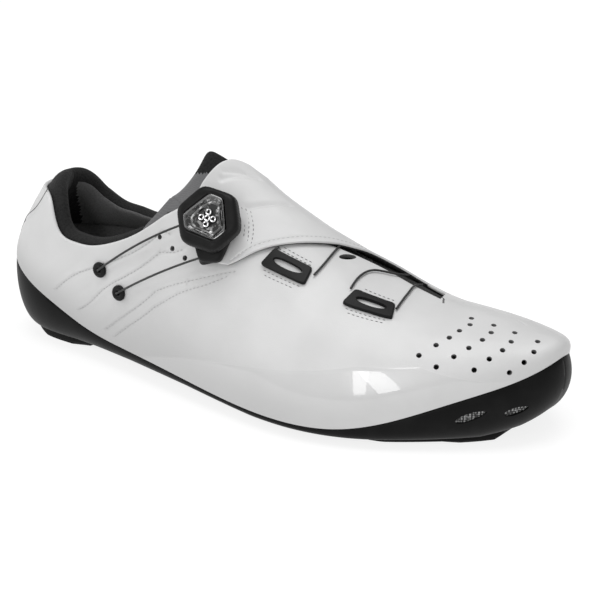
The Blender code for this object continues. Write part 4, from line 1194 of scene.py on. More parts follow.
@dataclass
class Flap:
    """Flap sewn to the inner quarter, wrapped over the instep, with the dial at its tip."""

    wall: float = 0.0018
    gap: float = 0.0003
    across: int = 120
    along: int = 130
    REAR: ClassVar[Rows] = (
        (0.00, 0.450, -0.512), (0.12, 0.416, -0.430), (0.28, 0.416, -0.290), (0.50, 0.434, -0.110),
        (0.58, 0.443, -0.048), (0.65, 0.454, 0.010), (0.74, 0.468, 0.090), (0.84, 0.462, 0.190),
        (1.00, 0.420, 0.340),
    )
    FRONT: ClassVar[Rows] = (
        (0.00, 0.483, -0.464), (0.10, 0.499, -0.404), (0.20, 0.518, -0.320), (0.30, 0.540, -0.230),
        (0.40, 0.558, -0.155), (0.50, 0.578, -0.070), (0.60, 0.596, 0.010), (0.70, 0.612, 0.075),
        (0.80, 0.632, 0.165), (0.90, 0.668, 0.250), (1.00, 0.705, 0.330),
    )
    # Creases pulled by the dial: places, depth and half width in mm, wider on the inner side
    CREASES: ClassVar[tuple[tuple[Rows, float, float], ...]] = (
        (((0.481, -0.222), (0.498, -0.135), (0.521, 0.003)), 0.75, 0.55),
        (((0.434, -0.238), (0.446, -0.168), (0.475, -0.014)), 0.60, 0.60),
        (((0.432, -0.200), (0.445, -0.138), (0.458, -0.076)), 0.45, 0.60),
        (((0.505, -0.330), (0.520, -0.240), (0.548, -0.140)), 0.25, 3.0),
    )

    def place(self, t: Array, w: Array) -> tuple[Array, Array]:
        """Reads the flap's grid: between its rear and front edge, drawn to the throat's seam at its end.

        Args:
            t: share of the way from the tip to the seam.
            w: share of the way from the rear to the front edge.

        Returns:
            Stations and places across.
        """
        rear, front = spline(self.REAR, t), spline(self.FRONT, t)
        between = rear + (front - rear) * w[..., None]
        station = LAST.COLLAR_END + (LAST.FLAP_END - LAST.COLLAR_END) * w
        seam = np.stack([station, spline(LAST.THROAT, station)[..., 1]], axis=-1)
        start, end = np.array(self.REAR[-1][1:]), np.array(self.FRONT[-1][1:])
        straight = start + (end - start) * w[..., None]
        place = between + (seam - straight) * smooth((t - 0.55) / 0.45)[..., None]
        return place[..., 0], place[..., 1]

    def lift(self, s: Array, g: Array) -> Array:
        """Height over the form: flush at the seam, over the outer quarter beyond the slit."""
        throat = spline(LAST.THROAT, s)
        edge, seam = throat[..., 0] + 0.02, throat[..., 1]
        return (2 * self.gap + self.wall) * (1 - smooth((g - edge) / np.maximum(seam - edge, 0.04)))

    def face(self, t: Array, w: Array) -> Array:
        """Outer face of the flap, with light puckers running from the dial to the front edge."""
        s, g = self.place(t, w)
        return LAST.over(s, g, self.lift(s, g) + self.pucker(t, w))

    def pucker(self, t: Array, w: Array) -> Array:
        """Height of the flap's unevenness.

        Args:
            t: share of the way from the tip to the seam.
            w: share of the way from the rear to the front edge.

        Returns:
            Shallow sine waves that fade towards the edges, less a groove for the seam and for each crease.
        """
        fade = smooth(w / 0.15) * smooth((1 - w) / 0.15) * smooth(t / 0.10) * smooth((1 - t) / 0.2)
        waves = 0.10 * np.sin(t * 21 + w * 5) + 0.08 * np.sin(w * 17 - t * 6)
        seam = 0.25 * MM * bell(w - 0.93, 0.018) * smooth(t / 0.1) * smooth((0.85 - t) / 0.1)
        s, g = self.place(t, w)
        creases = np.zeros_like(t)
        for rows, depth, width in self.CREASES:
            reach, below = line_distance(s, g, rows)
            ends = smooth((0.5 - np.abs((g - rows[0][1]) / (rows[-1][1] - rows[0][1]) - 0.5)) / 0.12 + 0.5)
            trough = np.where(below, bell(reach, width * MM), bell(reach, width * 2.5 * MM))
            creases += depth * MM * ends * trough
        return waves * MM * fade - seam - creases

    def build(self) -> bpy.types.Object:
        """Outer and inner face with a rolled edge."""
        t, w = np.meshgrid(np.linspace(0, 1, self.across), np.linspace(0, 1, self.along), indexing="ij")
        s, g = self.place(t, w)
        outer = self.face(t, w)
        inner = outer - LAST.normal(s, g) * self.wall
        shell = Shell()
        # Inner face and inner half of the rolled edge take the dark finish: a dark underside, and a painted
        # shadow line along the flap's edge
        sheet_between(shell, outer, inner, (0, 0, 1), np.stack([s, g], axis=-1))
        looks = [Finish.WHITE.material, Finish.DARK_UNDERSIDE_PAINTED_SHADOW.material]
        return placed(shell.build("wrap_flap_sheet", looks, 1e-6, 60), "coated_white", "wrap_flap")


@dataclass
class Tongue:
    """Padded tongue: grey mesh along its outer face, black padding rolled round its top."""

    wall: float = 0.0018
    clearance: float = 0.0006
    thick: float = 0.0042
    foot: tuple[float, float] = (0.800, 0.25)
    TOP: ClassVar[Rows] = (
        (-1.00, 0.290, -0.555), (-0.86, 0.308, -0.503), (-0.70, 0.350, -0.484), (-0.50, 0.392, -0.330),
        (-0.30, 0.408, -0.176), (-0.15, 0.427, -0.072), (0.00, 0.440, 0.010), (0.25, 0.452, 0.135),
        (0.50, 0.440, 0.300), (0.70, 0.405, 0.440), (0.86, 0.350, 0.505), (1.00, 0.318, 0.560),
    )
    SECTION: ClassVar[Rows] = (
        (0.00, 1.00, 0.12), (0.006, 0.66, 0.95), (0.02, 0.42, 1.55), (0.05, 0.28, 1.90), (0.09, 0.25, 1.85),
        (0.16, 0.20, 1.55), (0.26, 0.08, 1.10), (0.50, 0.00, 1.00), (0.90, 0.00, 0.80), (1.00, 0.00, 0.45),
    )

    def build(self) -> bpy.types.Object:
        """Grid from side to side and from its top down, its thickness from the section's shares."""
        rows = np.concatenate([0.3 * np.linspace(0, 1, 40)[:-1] ** 1.8, np.linspace(0.3, 1, 30)])
        q, p = np.meshgrid(np.linspace(-1, 1, 110), rows, indexing="ij")
        top = spline(self.TOP, q)
        s = top[..., 0] + (self.foot[0] - top[..., 0]) * p
        g = top[..., 1] + (self.foot[1] * q - top[..., 1]) * p
        section = spline(self.SECTION, p)
        thin = 1 - 0.55 * smooth((np.abs(q) - 0.55) / 0.45)
        normal = LAST.normal(s, g)
        depth = self.wall + self.clearance + self.thick * section[..., 0] * (1 - 0.75 * np.abs(q))
        outer = LAST.form(s, g) - normal * depth[..., None]
        inner = outer - normal * (self.thick * section[..., 1] * thin)[..., None]
        shell = Shell()
        black = (np.abs(q) < 0.52 - np.minimum(2.4 * p, 0.15)) | (p > 0.5)
        sheet_between(shell, outer, inner, (0, 1, 1), np.stack([q, p], axis=-1), 5)
        shell.looks[0] = black.astype(int)[:-1, :-1].reshape(-1)
        made = shell.build("tongue_pad", [Finish.GREY.material, Finish.PADDING.material], 1e-6, 70)
        return placed(made, "black_cloth", "tongue")


@dataclass
class CollarPadding:
    """Padded band round the inside of the collar, rolled over at its rim."""

    thick: float = 0.0078
    stand: float = 0.0098
    settle: float = 0.70
    end: float = 0.306
    low: float = 0.60
    wall: float = 0.0021
    SECTION: ClassVar[Rows] = (
        (0.00, 0.00, 0.15), (0.14, 0.35, 0.00), (0.28, 0.70, 0.00), (0.38, 0.90, 0.06), (0.46, 1.00, 0.40),
        (0.54, 0.985, 0.78), (0.62, 0.88, 1.02), (0.72, 0.68, 1.00), (0.84, 0.35, 0.72), (0.94, 0.06, 0.34),
        (1.00, 0.00, 0.15),
    )

    def build(self) -> bpy.types.Object:
        """Closed section of height and depth carried round the collar from one side to the other."""
        ring = np.linspace(-self.end, self.end, 150)
        share = np.linspace(0, 1, 45)[:-1]
        section = spline(self.SECTION, share)
        points = np.zeros((len(ring), len(share), 3))
        for side in (-1.0, 1.0):
            chosen = ring <= 0 if side < 0 else ring > 0
            s = np.abs(ring[chosen])
            rim = spline(LAST.COLLAR, s)[:, 0 if side < 0 else 1] * LAST.heel_height
            stand = self.stand * (1 - self.settle * smooth((s - 0.012) / 0.085))
            low = self.low * LAST.heel_height
            height = low + (rim + stand - low)[:, None] * section[None, :, 0]
            wide = np.repeat(s, len(share))
            g = LAST.place_at_height(wide, side, height.ravel()).reshape(height.shape)
            grid = np.broadcast_to(s[:, None], g.shape)
            depth = self.wall + section[None, :, 1] * self.thick * (1 - 0.35 * smooth((grid - 0.26) / 0.046))
            points[chosen] = LAST.over(grid, g, -depth)
        surface = np.stack(np.broadcast_arrays(ring[:, None], share[None, :]), axis=-1)
        shell = Shell()
        faces = grid_faces(len(ring), len(share), wrap_columns=True)
        middle, band = (ring[1:] + ring[:-1]) / 2, np.arange(len(share)) / len(share)
        turn, band = np.meshgrid(middle, band, indexing="ij")
        inside = (band > 0.60) & (band < 0.97) & (turn > 0.020 + 0.06 * smooth((band - 0.62) / 0.3))
        shell.add(points, faces, inside.astype(int).reshape(-1), surface)
        shell.loop_cap(points[0])
        shell.loop_cap(points[-1])
        made = shell.build("collar_pad", [Finish.PADDING.material, Finish.LINING.material], 1e-6, 70)
        return placed(made, "black_cloth", "collar_padding")


@dataclass
class Sole:
    """Thin stiff tub with raised sides, its two pads and the insole in it."""

    wall: float = 0.0020
    gap: float = 0.0003
    insole_thick: float = 0.0025
    inset: float = 0.015
    VENTS: ClassVar[Rows] = ((0.865, 0.25, 0.0140, 9.0), (0.926, 0.33, 0.0110, 0.0))
    vent_height: float = 0.0036
    bolt_middle: tuple[float, float] = (0.690, -0.020)
    bolt_spread: float = 0.0360
    bolt_reach: float = 0.0260
    bolt_radius: float = 0.0026
    HEEL_PAD: ClassVar[Rows] = ((0.07, 0.45), (0.10, 0.0), (0.16, 0.0), (0.20, 0.45))
    TOE_PAD: ClassVar[Rows] = (
        (0.727, 0.60), (0.745, 0.25), (0.777, 0.25), (0.825, 0.25), (0.85, 0.0), (0.90, 0.0), (0.92, 0.55),
    )

    def sheet(self, down_from: float = 0.0) -> tuple[Array, Array]:
        """Outer face as a grid: down the outer side, over the floor and up the inner side.

        Args:
            down_from: share of the side where the sheet starts.

        Returns:
            The grid of points, and its inward normals from the cross product of the grid's steps.
        """
        s = np.linspace(0, 1, 220)
        w = np.linspace(down_from, 1, 20)
        u = np.linspace(0, 1, 26)[1:-1]
        outer = LAST.sole_point(s[:, None], -1.0, w[None, :])
        inner = LAST.sole_point(s[:, None], 1.0, w[None, ::-1])
        floor = outer[:, -1:] * (1 - u)[None, :, None] + inner[:, :1] * u[None, :, None]
        grid = np.concatenate([outer, floor, inner], axis=1)
        normal = unit(np.cross(np.gradient(grid, axis=1), np.gradient(grid, axis=0)))
        middle = np.array([0.0, 0.0, LAST.sole_rise])
        normal *= np.sign(np.sum(normal * (middle - grid)))
        ends = np.array([1.0, 0.0, 0.25])
        normal[0], normal[-1] = unit(ends), unit(ends * (-1, 1, 1))
        if down_from == 0.0:
            for column in (0, -1):
                normal[:, column] = unit(normal[:, column] * (1, 1, 0))
        return grid, normal

    def build(self) -> list[bpy.types.Object]:
        """The tub with its holes, the pads and the insole."""
        return [self.tub(), self.insole(), self.pad("heel_pad_rubber", self.HEEL_PAD, "heel_pad"),
                self.pad("toe_pad_rubber", self.TOE_PAD, "toe_pad"), self.vent_mesh()]

    def tub(self) -> bpy.types.Object:
        """Wall between the sheet and its inward offset, its rim rolled, cut by vents and bolt holes."""
        grid, normal = self.sheet()
        shell = Shell()
        sheet_between(shell, grid, grid + normal * self.wall)
        made = shell.build("sole_tub", [Finish.COMPOSITE.material], 3e-5, 45)
        cutters = Shell()
        for matrix, size in self.vents():
            loop = turned(((1.0, 1.0), (1.0, -1.0)), 28) * (size / 2, self.vent_height / 2, self.wall * 2)
            loop[..., 1] *= 1 - 0.35 * loop[..., 0] / size
            cutters.capped(moved(matrix, loop))
        for x, y in self.bolts():
            loop = turned(((self.bolt_radius, 0.008), (self.bolt_radius, 0.0)), 20)
            cutters.capped(loop + np.array([x, y, 0.0]))
        cut_away(made, cutters, Finish.COMPOSITE.material, 40)
        return placed(made, "satin_composite", "sole_chassis")

    def vents(self) -> list[tuple[Array, float]]:
        """Frame and length of each vent: X along the side, Y up it, Z outward."""
        found = []
        for s, w, size, tilt in self.VENTS:
            along = unit(LAST.sole_point(s + 0.004, -1.0, w) - LAST.sole_point(s - 0.004, -1.0, w))
            down = unit(LAST.sole_point(s, -1.0, w + 0.02) - LAST.sole_point(s, -1.0, w - 0.02))
            out = unit(np.cross(down, along))
            rise = np.cross(out, along)
            turn = math.radians(tilt)
            matrix = np.eye(4)
            matrix[:3, 0] = along * math.cos(turn) + rise * math.sin(turn)
            matrix[:3, 1] = rise * math.cos(turn) - along * math.sin(turn)
            matrix[:3, 2], matrix[:3, 3] = out, LAST.sole_point(s, -1.0, w)
            found.append((matrix, size))
        return found

    def vent_mesh(self) -> bpy.types.Object:
        """Small mesh screens set just behind the vents."""
        shell = Shell()
        for matrix, size in self.vents():
            wide, high = size + 0.002, self.vent_height + 0.0012
            steps_x, steps_y = np.linspace(-0.5, 0.5, 14) * wide, np.linspace(-0.5, 0.5, 6) * high
            x, y = np.meshgrid(steps_x, steps_y, indexing="ij")
            face = np.stack([x, y, np.full_like(x, -self.wall * 0.55)], axis=-1)
            back = face - UP * 0.0004
            sheet_between(shell, moved(matrix, face), moved(matrix, back), roll=1)
        return placed(shell.build("vent_screens", [Finish.SCREEN.material]), "grey_lining")

    def bolts(self) -> list[tuple[float, float]]:
        """Places of the three bolt holes."""
        x = self.bolt_middle[0] * LAST.length - LAST.origin[0]
        y = self.bolt_middle[1] * LAST.ball_width - LAST.origin[1]
        front, rear = x + self.bolt_reach / 2, x - self.bolt_reach / 2
        return [(front, y), (rear, y - self.bolt_spread / 2), (rear, y + self.bolt_spread / 2)]

    def insole(self) -> bpy.types.Object:
        """Cupped insole: the same sheet from half way down its sides, set in by the sole's wall."""
        grid, normal = self.sheet(0.5)
        bottom = grid + normal * (self.wall + self.gap)
        shell = Shell()
        sheet_between(shell, bottom + normal * self.insole_thick, bottom)
        return placed(shell.build("insole_sheet", [Finish.LINING.material], 3e-5), "grey_lining", "insole")

    def pad(self, name: str, rows: Rows, node: str) -> bpy.types.Object:
        """Rubber pad under the floor: its top follows the floor, its face is rounded in at the sides.

        Args:
            name: name of the piece.
            rows: stations, and the height of the pad's face there as a share of the floor's.
            node: name of the node that it stands for.

        Returns:
            The pad.
        """
        table = np.asarray(rows)
        s = np.linspace(table[0, 0], table[-1, 0], 60)
        share = np.interp(s, table[:, 0], table[:, 1])
        left, right = LAST.sole_point(s, -1.0, 1.0), LAST.sole_point(s, 1.0, 1.0)
        floor = LAST.floor(s)[:, None]
        u = np.linspace(0, 1, 40)
        across = self.inset + (1 - 2 * self.inset) * u
        flat = left[:, None] * (1 - across)[None, :, None] + right[:, None] * across[None, :, None]
        end = 1 - smooth(np.minimum(s - s[0], s[-1] - s) / 0.006)[:, None]
        side = 1 - smooth(np.minimum(u, 1 - u) / 0.035)[None, :]
        low = floor * share[:, None]
        groove = 0.0005 * (np.abs(((s * LAST.length) % 0.006) - 0.003) < 0.0005)[:, None]
        groove = groove * smooth((np.minimum(u, 1 - u) - 0.06) / 0.05)[None, :]
        base = low + (floor - self.gap - low) * np.maximum(side * 0.45, end * 0.3)
        base = base + groove * (share[:, None] < 0.3)
        upper, lower = flat.copy(), flat.copy()
        upper[..., 2], lower[..., 2] = floor - self.gap, base
        shell = Shell()
        shell.add(upper, grid_faces(*base.shape))
        shell.add(lower, grid_faces(*base.shape)[:, ::-1])
        around = np.concatenate([np.stack([upper[0], lower[0]]), np.stack([upper[1:, -1], lower[1:, -1]]),
                                 np.stack([upper[-1, -2::-1], lower[-1, -2::-1]]),
                                 np.stack([upper[-2:0:-1, 0], lower[-2:0:-1, 0]])], axis=1)
        shell.add(around, grid_faces(2, around.shape[1], wrap_columns=True))
        return placed(shell.build(name, [Finish.RUBBER.material], 1e-6, 30), "black_rubber", node)


def rounded_polygon(angle: Array, first: float, sides: dict[float, float], power: float) -> Array:
    """Radius of a polygon with soft corners.

    Each side adds the cosine of its angle over its distance, to a power; the radius is the sum to minus one
    over that power.

    Args:
        angle: angles to read.
        first: angle of the first side.
        sides: distance of each side by its angle from the first, in degrees.
        power: higher for sharper corners.

    Returns:
        The radius at each angle.
    """
    total = np.zeros_like(angle)
    for turn, distance in sides.items():
        total += (np.maximum(np.cos(angle - first - math.radians(turn)), 0.0) / distance) ** power
    return total ** (-1 / power)


@dataclass
class Dial:
    """Lace dial: housing on the flap's tip, ribbed knob, its clear window and the hub in it."""

    seat: tuple[float, float] = (0.448, -0.385)
    turn: float = math.radians(38)
    radius: float = 0.0133
    height: float = 0.0072
    knob_turn: float = math.radians(-9)
    base_radius: float = 0.0112
    base_height: float = 0.0050
    port_turn: float = math.radians(277)
    port_reach: float = 0.0172
    port_half: float = 0.0048
    port_flare: float = 0.34
    window_radius: float = 0.0082
    window_turn: float = math.radians(78)
    window_depth: float = 0.0022
    rib_depth: float = 0.007
    gap: float = 0.0003
    # Knob from its foot to its top: share of its radius, share of its height, share of the ribs' depth
    WALL: ClassVar[Rows] = (
        (0.95, 0.0, 0.4), (0.985, 0.05, 0.8), (1.0, 0.14, 1.0), (1.0, 0.62, 1.0), (0.99, 0.74, 0.8),
        (0.965, 0.84, 0.3), (0.925, 0.92, 0.0), (0.88, 0.965, 0.0), (0.82, 0.99, 0.0), (0.74, 1.0, 0.0),
    )
    # Clear bevel round the window: share of its outline, height over the knob's top
    RIM: ClassVar[Rows] = (
        (0.96, -0.0018), (0.97, -0.0004), (0.955, 0.0001), (0.92, 0.0002), (0.87, -0.0003), (0.80, -0.0012),
    )
    # Facets inside it: share of its outline, depth under the knob's top, share of the facets' own slope
    FACETS: ClassVar[Rows] = (
        (0.74, 0.0014, 0.3), (0.70, 0.0009, 1.0), (0.62, 0.0010, 1.0), (0.56, 0.0017, 0.3),
    )

    def frame(self) -> tuple[Array, float]:
        """The dial's seat on the flap, and its height over the form."""
        s, g = np.array(self.seat)
        lift = float(Flap().lift(s, g)) + 2 * self.gap
        return LAST.seat(self.seat, self.turn, lift), lift

    @property
    def top(self) -> float:
        """Height of the knob's top over the seat."""
        return self.base_height + self.gap + self.height

    def reach(self, angle: Array) -> Array:
        """Radius of the housing: a circle, or the flared block of its wire port where that is larger."""
        off = np.abs((angle - self.port_turn + math.pi) % math.tau - math.pi)
        front = self.port_reach / np.maximum(np.cos(off), 0.05)
        flare = self.port_flare
        side = (self.port_half + self.port_reach * flare) / (np.sin(off) + flare * np.cos(off))
        block = (front ** -14 + np.maximum(side, 1e-4) ** -14) ** (-1 / 14)
        return np.where(off < 1.25, np.maximum(self.base_radius, block), self.base_radius)

    def port(self, angle: float) -> Array:
        """Where a wire leaves the housing at an angle, half way up it."""
        reach = float(self.reach(np.array(angle))) - 0.0005
        local = np.array([math.cos(angle) * reach, math.sin(angle) * reach, self.base_height / 2])
        return moved(self.frame()[0], local)

    def build(self) -> list[bpy.types.Object]:
        """Housing, knob, window and hub."""
        matrix, lift = self.frame()
        return [self.housing(matrix, lift), self.knob(matrix), self.window(matrix), self.hub(matrix)]

    def housing(self, matrix: Array, lift: float) -> bpy.types.Object:
        """Foot laid on the flap, sides raised square to the seat with a rounded shoulder.

        Args:
            matrix: the dial's seat.
            lift: its height over the form.

        Returns:
            The housing.
        """
        sides = 144
        angle = turns(sides)
        reach = self.reach(angle)
        rim = np.stack([np.cos(angle), np.sin(angle)], axis=-1) * reach[:, None]
        rings = [LAST.laid(self.seat, self.turn, np.column_stack([rim * share, np.full(sides, lift)]))
                 for share in (0.04, 0.35, 0.68, 0.98)]
        port = smooth((reach - self.base_radius - 0.0005) / 0.003)
        for height, share in ((0.12, 1.0), (0.55, 1.0), (0.80, 0.99), (0.95, 0.96), (1.0, 0.92)):
            rise = self.base_height * (height - port * height * 0.20)
            rings.append(moved(matrix, np.column_stack([rim * share, rise])))
        shell = Shell()
        shell.capped(np.stack(rings))
        return placed(shell.build("dial_housing", [Finish.PLASTIC.material]), "black_plastic", "dial_base")

    def window_outline(self, sides: int) -> Array:
        """Three long sides and three short ones across their corners."""
        shape = {turn: self.window_radius for turn in (60.0, 180.0, 300.0)}
        shape |= {turn: self.window_radius * 1.30 for turn in (0.0, 120.0, 240.0)}
        return rounded_polygon(turns(sides), self.window_turn, shape, 16.0)

    def knob(self, matrix: Array) -> bpy.types.Object:
        """Six-sided knob, its rim finely ribbed, with a lip round a three-cornered window."""
        sides, ribs = 288, 72
        low, hexagon = self.base_height + self.gap, {60.0 * k: self.radius for k in range(6)}
        outline = rounded_polygon(turns(sides), self.knob_turn + math.pi / 6, hexagon, 12.0)
        wall = turned([(r, low + self.height * h) for r, h, _ in self.WALL], sides, outline)
        depth = self.rib_depth * np.maximum(0, np.cos(turns(sides) * ribs))
        wall[..., :2] *= (1 - depth * np.array(self.WALL)[:, 2:])[..., None]
        window = [(1.10, 0.0), (1.05, 0.0001), (1.01, 0.0004), (0.99, 0.0010), (0.97, self.window_depth)]
        inner = turned([(r, self.top - h) for r, h in window], sides, self.window_outline(sides))
        shell = Shell()
        shell.capped(moved(matrix, np.concatenate([wall, inner])))
        made = shell.build("dial_knob_ribbed", [Finish.PLASTIC.material], 1e-6, 35)
        return placed(made, "black_plastic", "dial_knob")

    def window(self, matrix: Array) -> bpy.types.Object:
        """Clear bevel round the window and three facets sloping down to the bore of the hub."""
        sides = 144
        outline = self.window_outline(sides)
        rim = turned([(r, self.top + h) for r, h in self.RIM], sides, outline)
        steps = turned([(r, self.top - fall) for r, fall, _ in self.FACETS], sides, outline)
        slope = 0.0004 * (1 + np.cos(3 * (turns(sides) - self.window_turn)))
        steps[..., 2] -= slope * np.array(self.FACETS)[:, 2:]
        bore = turned([(0.0044, self.top - 0.0020), (0.0042, self.top - 0.0030)], sides)
        rings = moved(matrix, np.concatenate([rim, steps, bore]))
        shell = Shell()
        bright = np.repeat(np.isin(np.arange(len(rings) - 1), (2, 3, 7)), sides).astype(int)
        shell.capped(rings, bright)
        looks = [Finish.GLASS.material, Finish.BEVEL.material]
        return placed(shell.build("dial_window", looks, 1e-6, 25), "black_plastic")

    def hub(self, matrix: Array) -> bpy.types.Object:
        """Polished four-lobed hub with a dark socket in each lobe and one in its middle."""
        top, lobes = self.top, 4
        shell = Shell()
        plate = turned([(0.0038, top - 0.0029), (0.0038, top - 0.0014), (0.0036, top - 0.0011),
                        (0.0012, top - 0.0010)], 96, 1 + 0.18 * np.cos(lobes * turns(96)))
        shell.capped(moved(matrix, plate), 1, 1)
        spots = [(0.0, 0.0)] + [(0.0027 * math.cos(turn), 0.0027 * math.sin(turn)) for turn in turns(lobes)]
        for x, y in spots:
            lip = turned([(0.00145, top - 0.0012), (0.0014, top - 0.0008), (0.0012, top - 0.0006),
                          (0.0008, top - 0.0008)], 24) + np.array([x, y, 0.0])
            bowl = turned([(0.0008, top - 0.0009), (0.0003, top - 0.00095)], 24) + np.array([x, y, 0.0])
            for block, look in ((moved(matrix, lip), 0), (moved(matrix, bowl), 1)):
                shell.add(block, grid_faces(len(block), 24, wrap_columns=True), look)
                shell.loop_cap(block[-1], 1)
                shell.loop_cap(block[0], look)
        looks = [Finish.METAL.material, Finish.PLASTIC.material]
        return placed(shell.build("dial_hub_plate", looks, 1e-7, 30), "bright_metal", "dial_hub")


@dataclass
class Trim:
    """Eyelets, slotted guides and the runs of wire between them."""

    wire: float = 0.0005
    EYELETS: ClassVar[dict[str, tuple[float, float]]] = {
        "eyelet_upper": (0.238, -0.635), "eyelet_lower": (0.285, -0.740)}
    GUIDES: ClassVar[dict[str, tuple[tuple[float, float], float]]] = {
        "guide_rear": ((0.561, -0.294), math.radians(12)), "guide_front": ((0.692, -0.248), math.radians(3))}
    PORTS: ClassVar[tuple[float, float]] = (math.radians(188), math.radians(261))
    BOWS: ClassVar[dict[str, float]] = {"eyelet_upper": 0.0022, "eyelet_lower": 0.0010}
    RUNS: ClassVar[dict[str, Rows]] = {
        "wire_rear_left": ((0.5345, -0.285), (0.5365, -0.262), (0.5385, -0.246)),
        "wire_rear_right": ((0.597, -0.250), (0.599, -0.170), (0.598, -0.090), (0.595, -0.004)),
        "wire_front_left": ((0.651, -0.210), (0.649, -0.140), (0.650, -0.080), (0.655, -0.030),
                            (0.668, 0.010), (0.682, 0.045), (0.690, 0.090), (0.694, 0.130)),
        "wire_front_right": ((0.731, -0.220), (0.730, -0.130), (0.727, -0.050), (0.724, 0.020),
                             (0.727, 0.085)),
    }

    def build(self, dial: Dial) -> list[bpy.types.Object]:
        """Every piece of trim."""
        made = [self.eyelet(name, place) for name, place in self.EYELETS.items()]
        made += [self.guide(name, place, turn) for name, (place, turn) in self.GUIDES.items()]
        for name, route in self.RUNS.items():
            rows = np.asarray(route)
            made.append(self.run(name, LAST.over(rows[:, 0], rows[:, 1], 2.2 * self.wire)))
        for angle, (name, place) in zip(self.PORTS, self.EYELETS.items()):
            s, g = np.array(place[0]), np.array(place[1])
            end = LAST.over(s, g, 0.0021)
            inside = LAST.over(s, g, -0.0004)
            start = dial.port(angle)
            share = np.linspace(0, 1, 24)[:, None]
            out = LAST.normal(s, g)
            bow = (out * 0.0012 + unit(UP - out * out[2]) * self.BOWS[name]) * 4 * share * (1 - share)
            path = np.concatenate([start + (end - start) * share + bow,
                                   [(end * 2 + inside) / 3 + (end - start) * 0.004],
                                   [inside + (end - start) * 0.006]])
            made.append(self.run(name.replace("eyelet", "wire"), path))
        return made

    def run(self, node: str, path: Array) -> bpy.types.Object:
        """One run of wire as a tube along a smooth curve.

        Args:
            node: name of the node that it stands for.
            path: points that it runs through.

        Returns:
            The run.
        """
        shell = Shell()
        tube(shell, through(path, 60), self.wire, 12)
        return placed(shell.build(f"{node}_cable", [Finish.CABLE.material]), "cable", node)

    def eyelet(self, node: str, place: tuple[float, float]) -> bpy.types.Object:
        """Domed washer with a rounded mouth.

        Args:
            node: name of the node that it stands for.
            place: station and place across.

        Returns:
            The washer.
        """
        profile = ((0.0035, 0.0003), (0.0036, 0.0007), (0.0035, 0.0012), (0.0032, 0.0016), (0.0027, 0.0018),
                   (0.0018, 0.0018), (0.0012, 0.0015), (0.0008, 0.0010), (0.0007, 0.0003))
        shell = Shell()
        rings = LAST.laid(place, 0.0, turned(profile, 40))
        shell.add(rings, grid_faces(len(profile), 40, wrap_rows=True, wrap_columns=True))
        return placed(shell.build(f"{node}_washer", [Finish.PLASTIC.material]), "black_plastic", node)

    def guide(self, node: str, place: tuple[float, float], turn: float) -> bpy.types.Object:
        """Plate with rounded corners and rims round its outer edge and its slot.

        Args:
            node: name of the node that it stands for.
            place: station and place across of its middle.
            turn: angle of its length along the foot.

        Returns:
            The plate.
        """
        sides = 96
        angle = (np.arange(sides) + 0.5) * math.tau / sides
        square = np.stack([np.sign(np.cos(angle)) * np.abs(np.cos(angle)) ** 0.17,
                           np.sign(np.sin(angle)) * np.abs(np.sin(angle)) ** 0.17], axis=-1)
        square[:, 0] *= 1 - 0.09 * square[:, 1]
        oval = np.stack([0.0070 * np.sign(np.cos(angle)) * np.abs(np.cos(angle)) ** 0.9,
                         0.0017 * np.sin(angle)], axis=-1)
        rows = ((1.0, 0.0002), (1.0, 0.0010), (0.985, 0.0016), (0.95, 0.0019), (0.90, 0.0019))
        rings = [np.column_stack([square * (0.0104 * k, 0.0046 * k), np.full(sides, h)]) for k, h in rows]
        for k, h in ((1.35, 0.0019), (1.12, 0.0019), (1.0, 0.0016), (1.0, 0.0004)):
            grown = oval + np.stack([np.cos(angle), np.sin(angle)], axis=-1) * 0.0015 * (k - 1)
            rings.append(np.column_stack([grown + (0.0, 0.0001), np.full(sides, h)]))
        shell = Shell()
        points = LAST.laid(place, turn, np.stack(rings))
        shell.add(points, grid_faces(len(rings), sides, wrap_rows=True, wrap_columns=True))
        made = shell.build(f"{node}_plate", [Finish.PLASTIC.material], 1e-6, 35)
        return placed(made, "black_plastic", node)


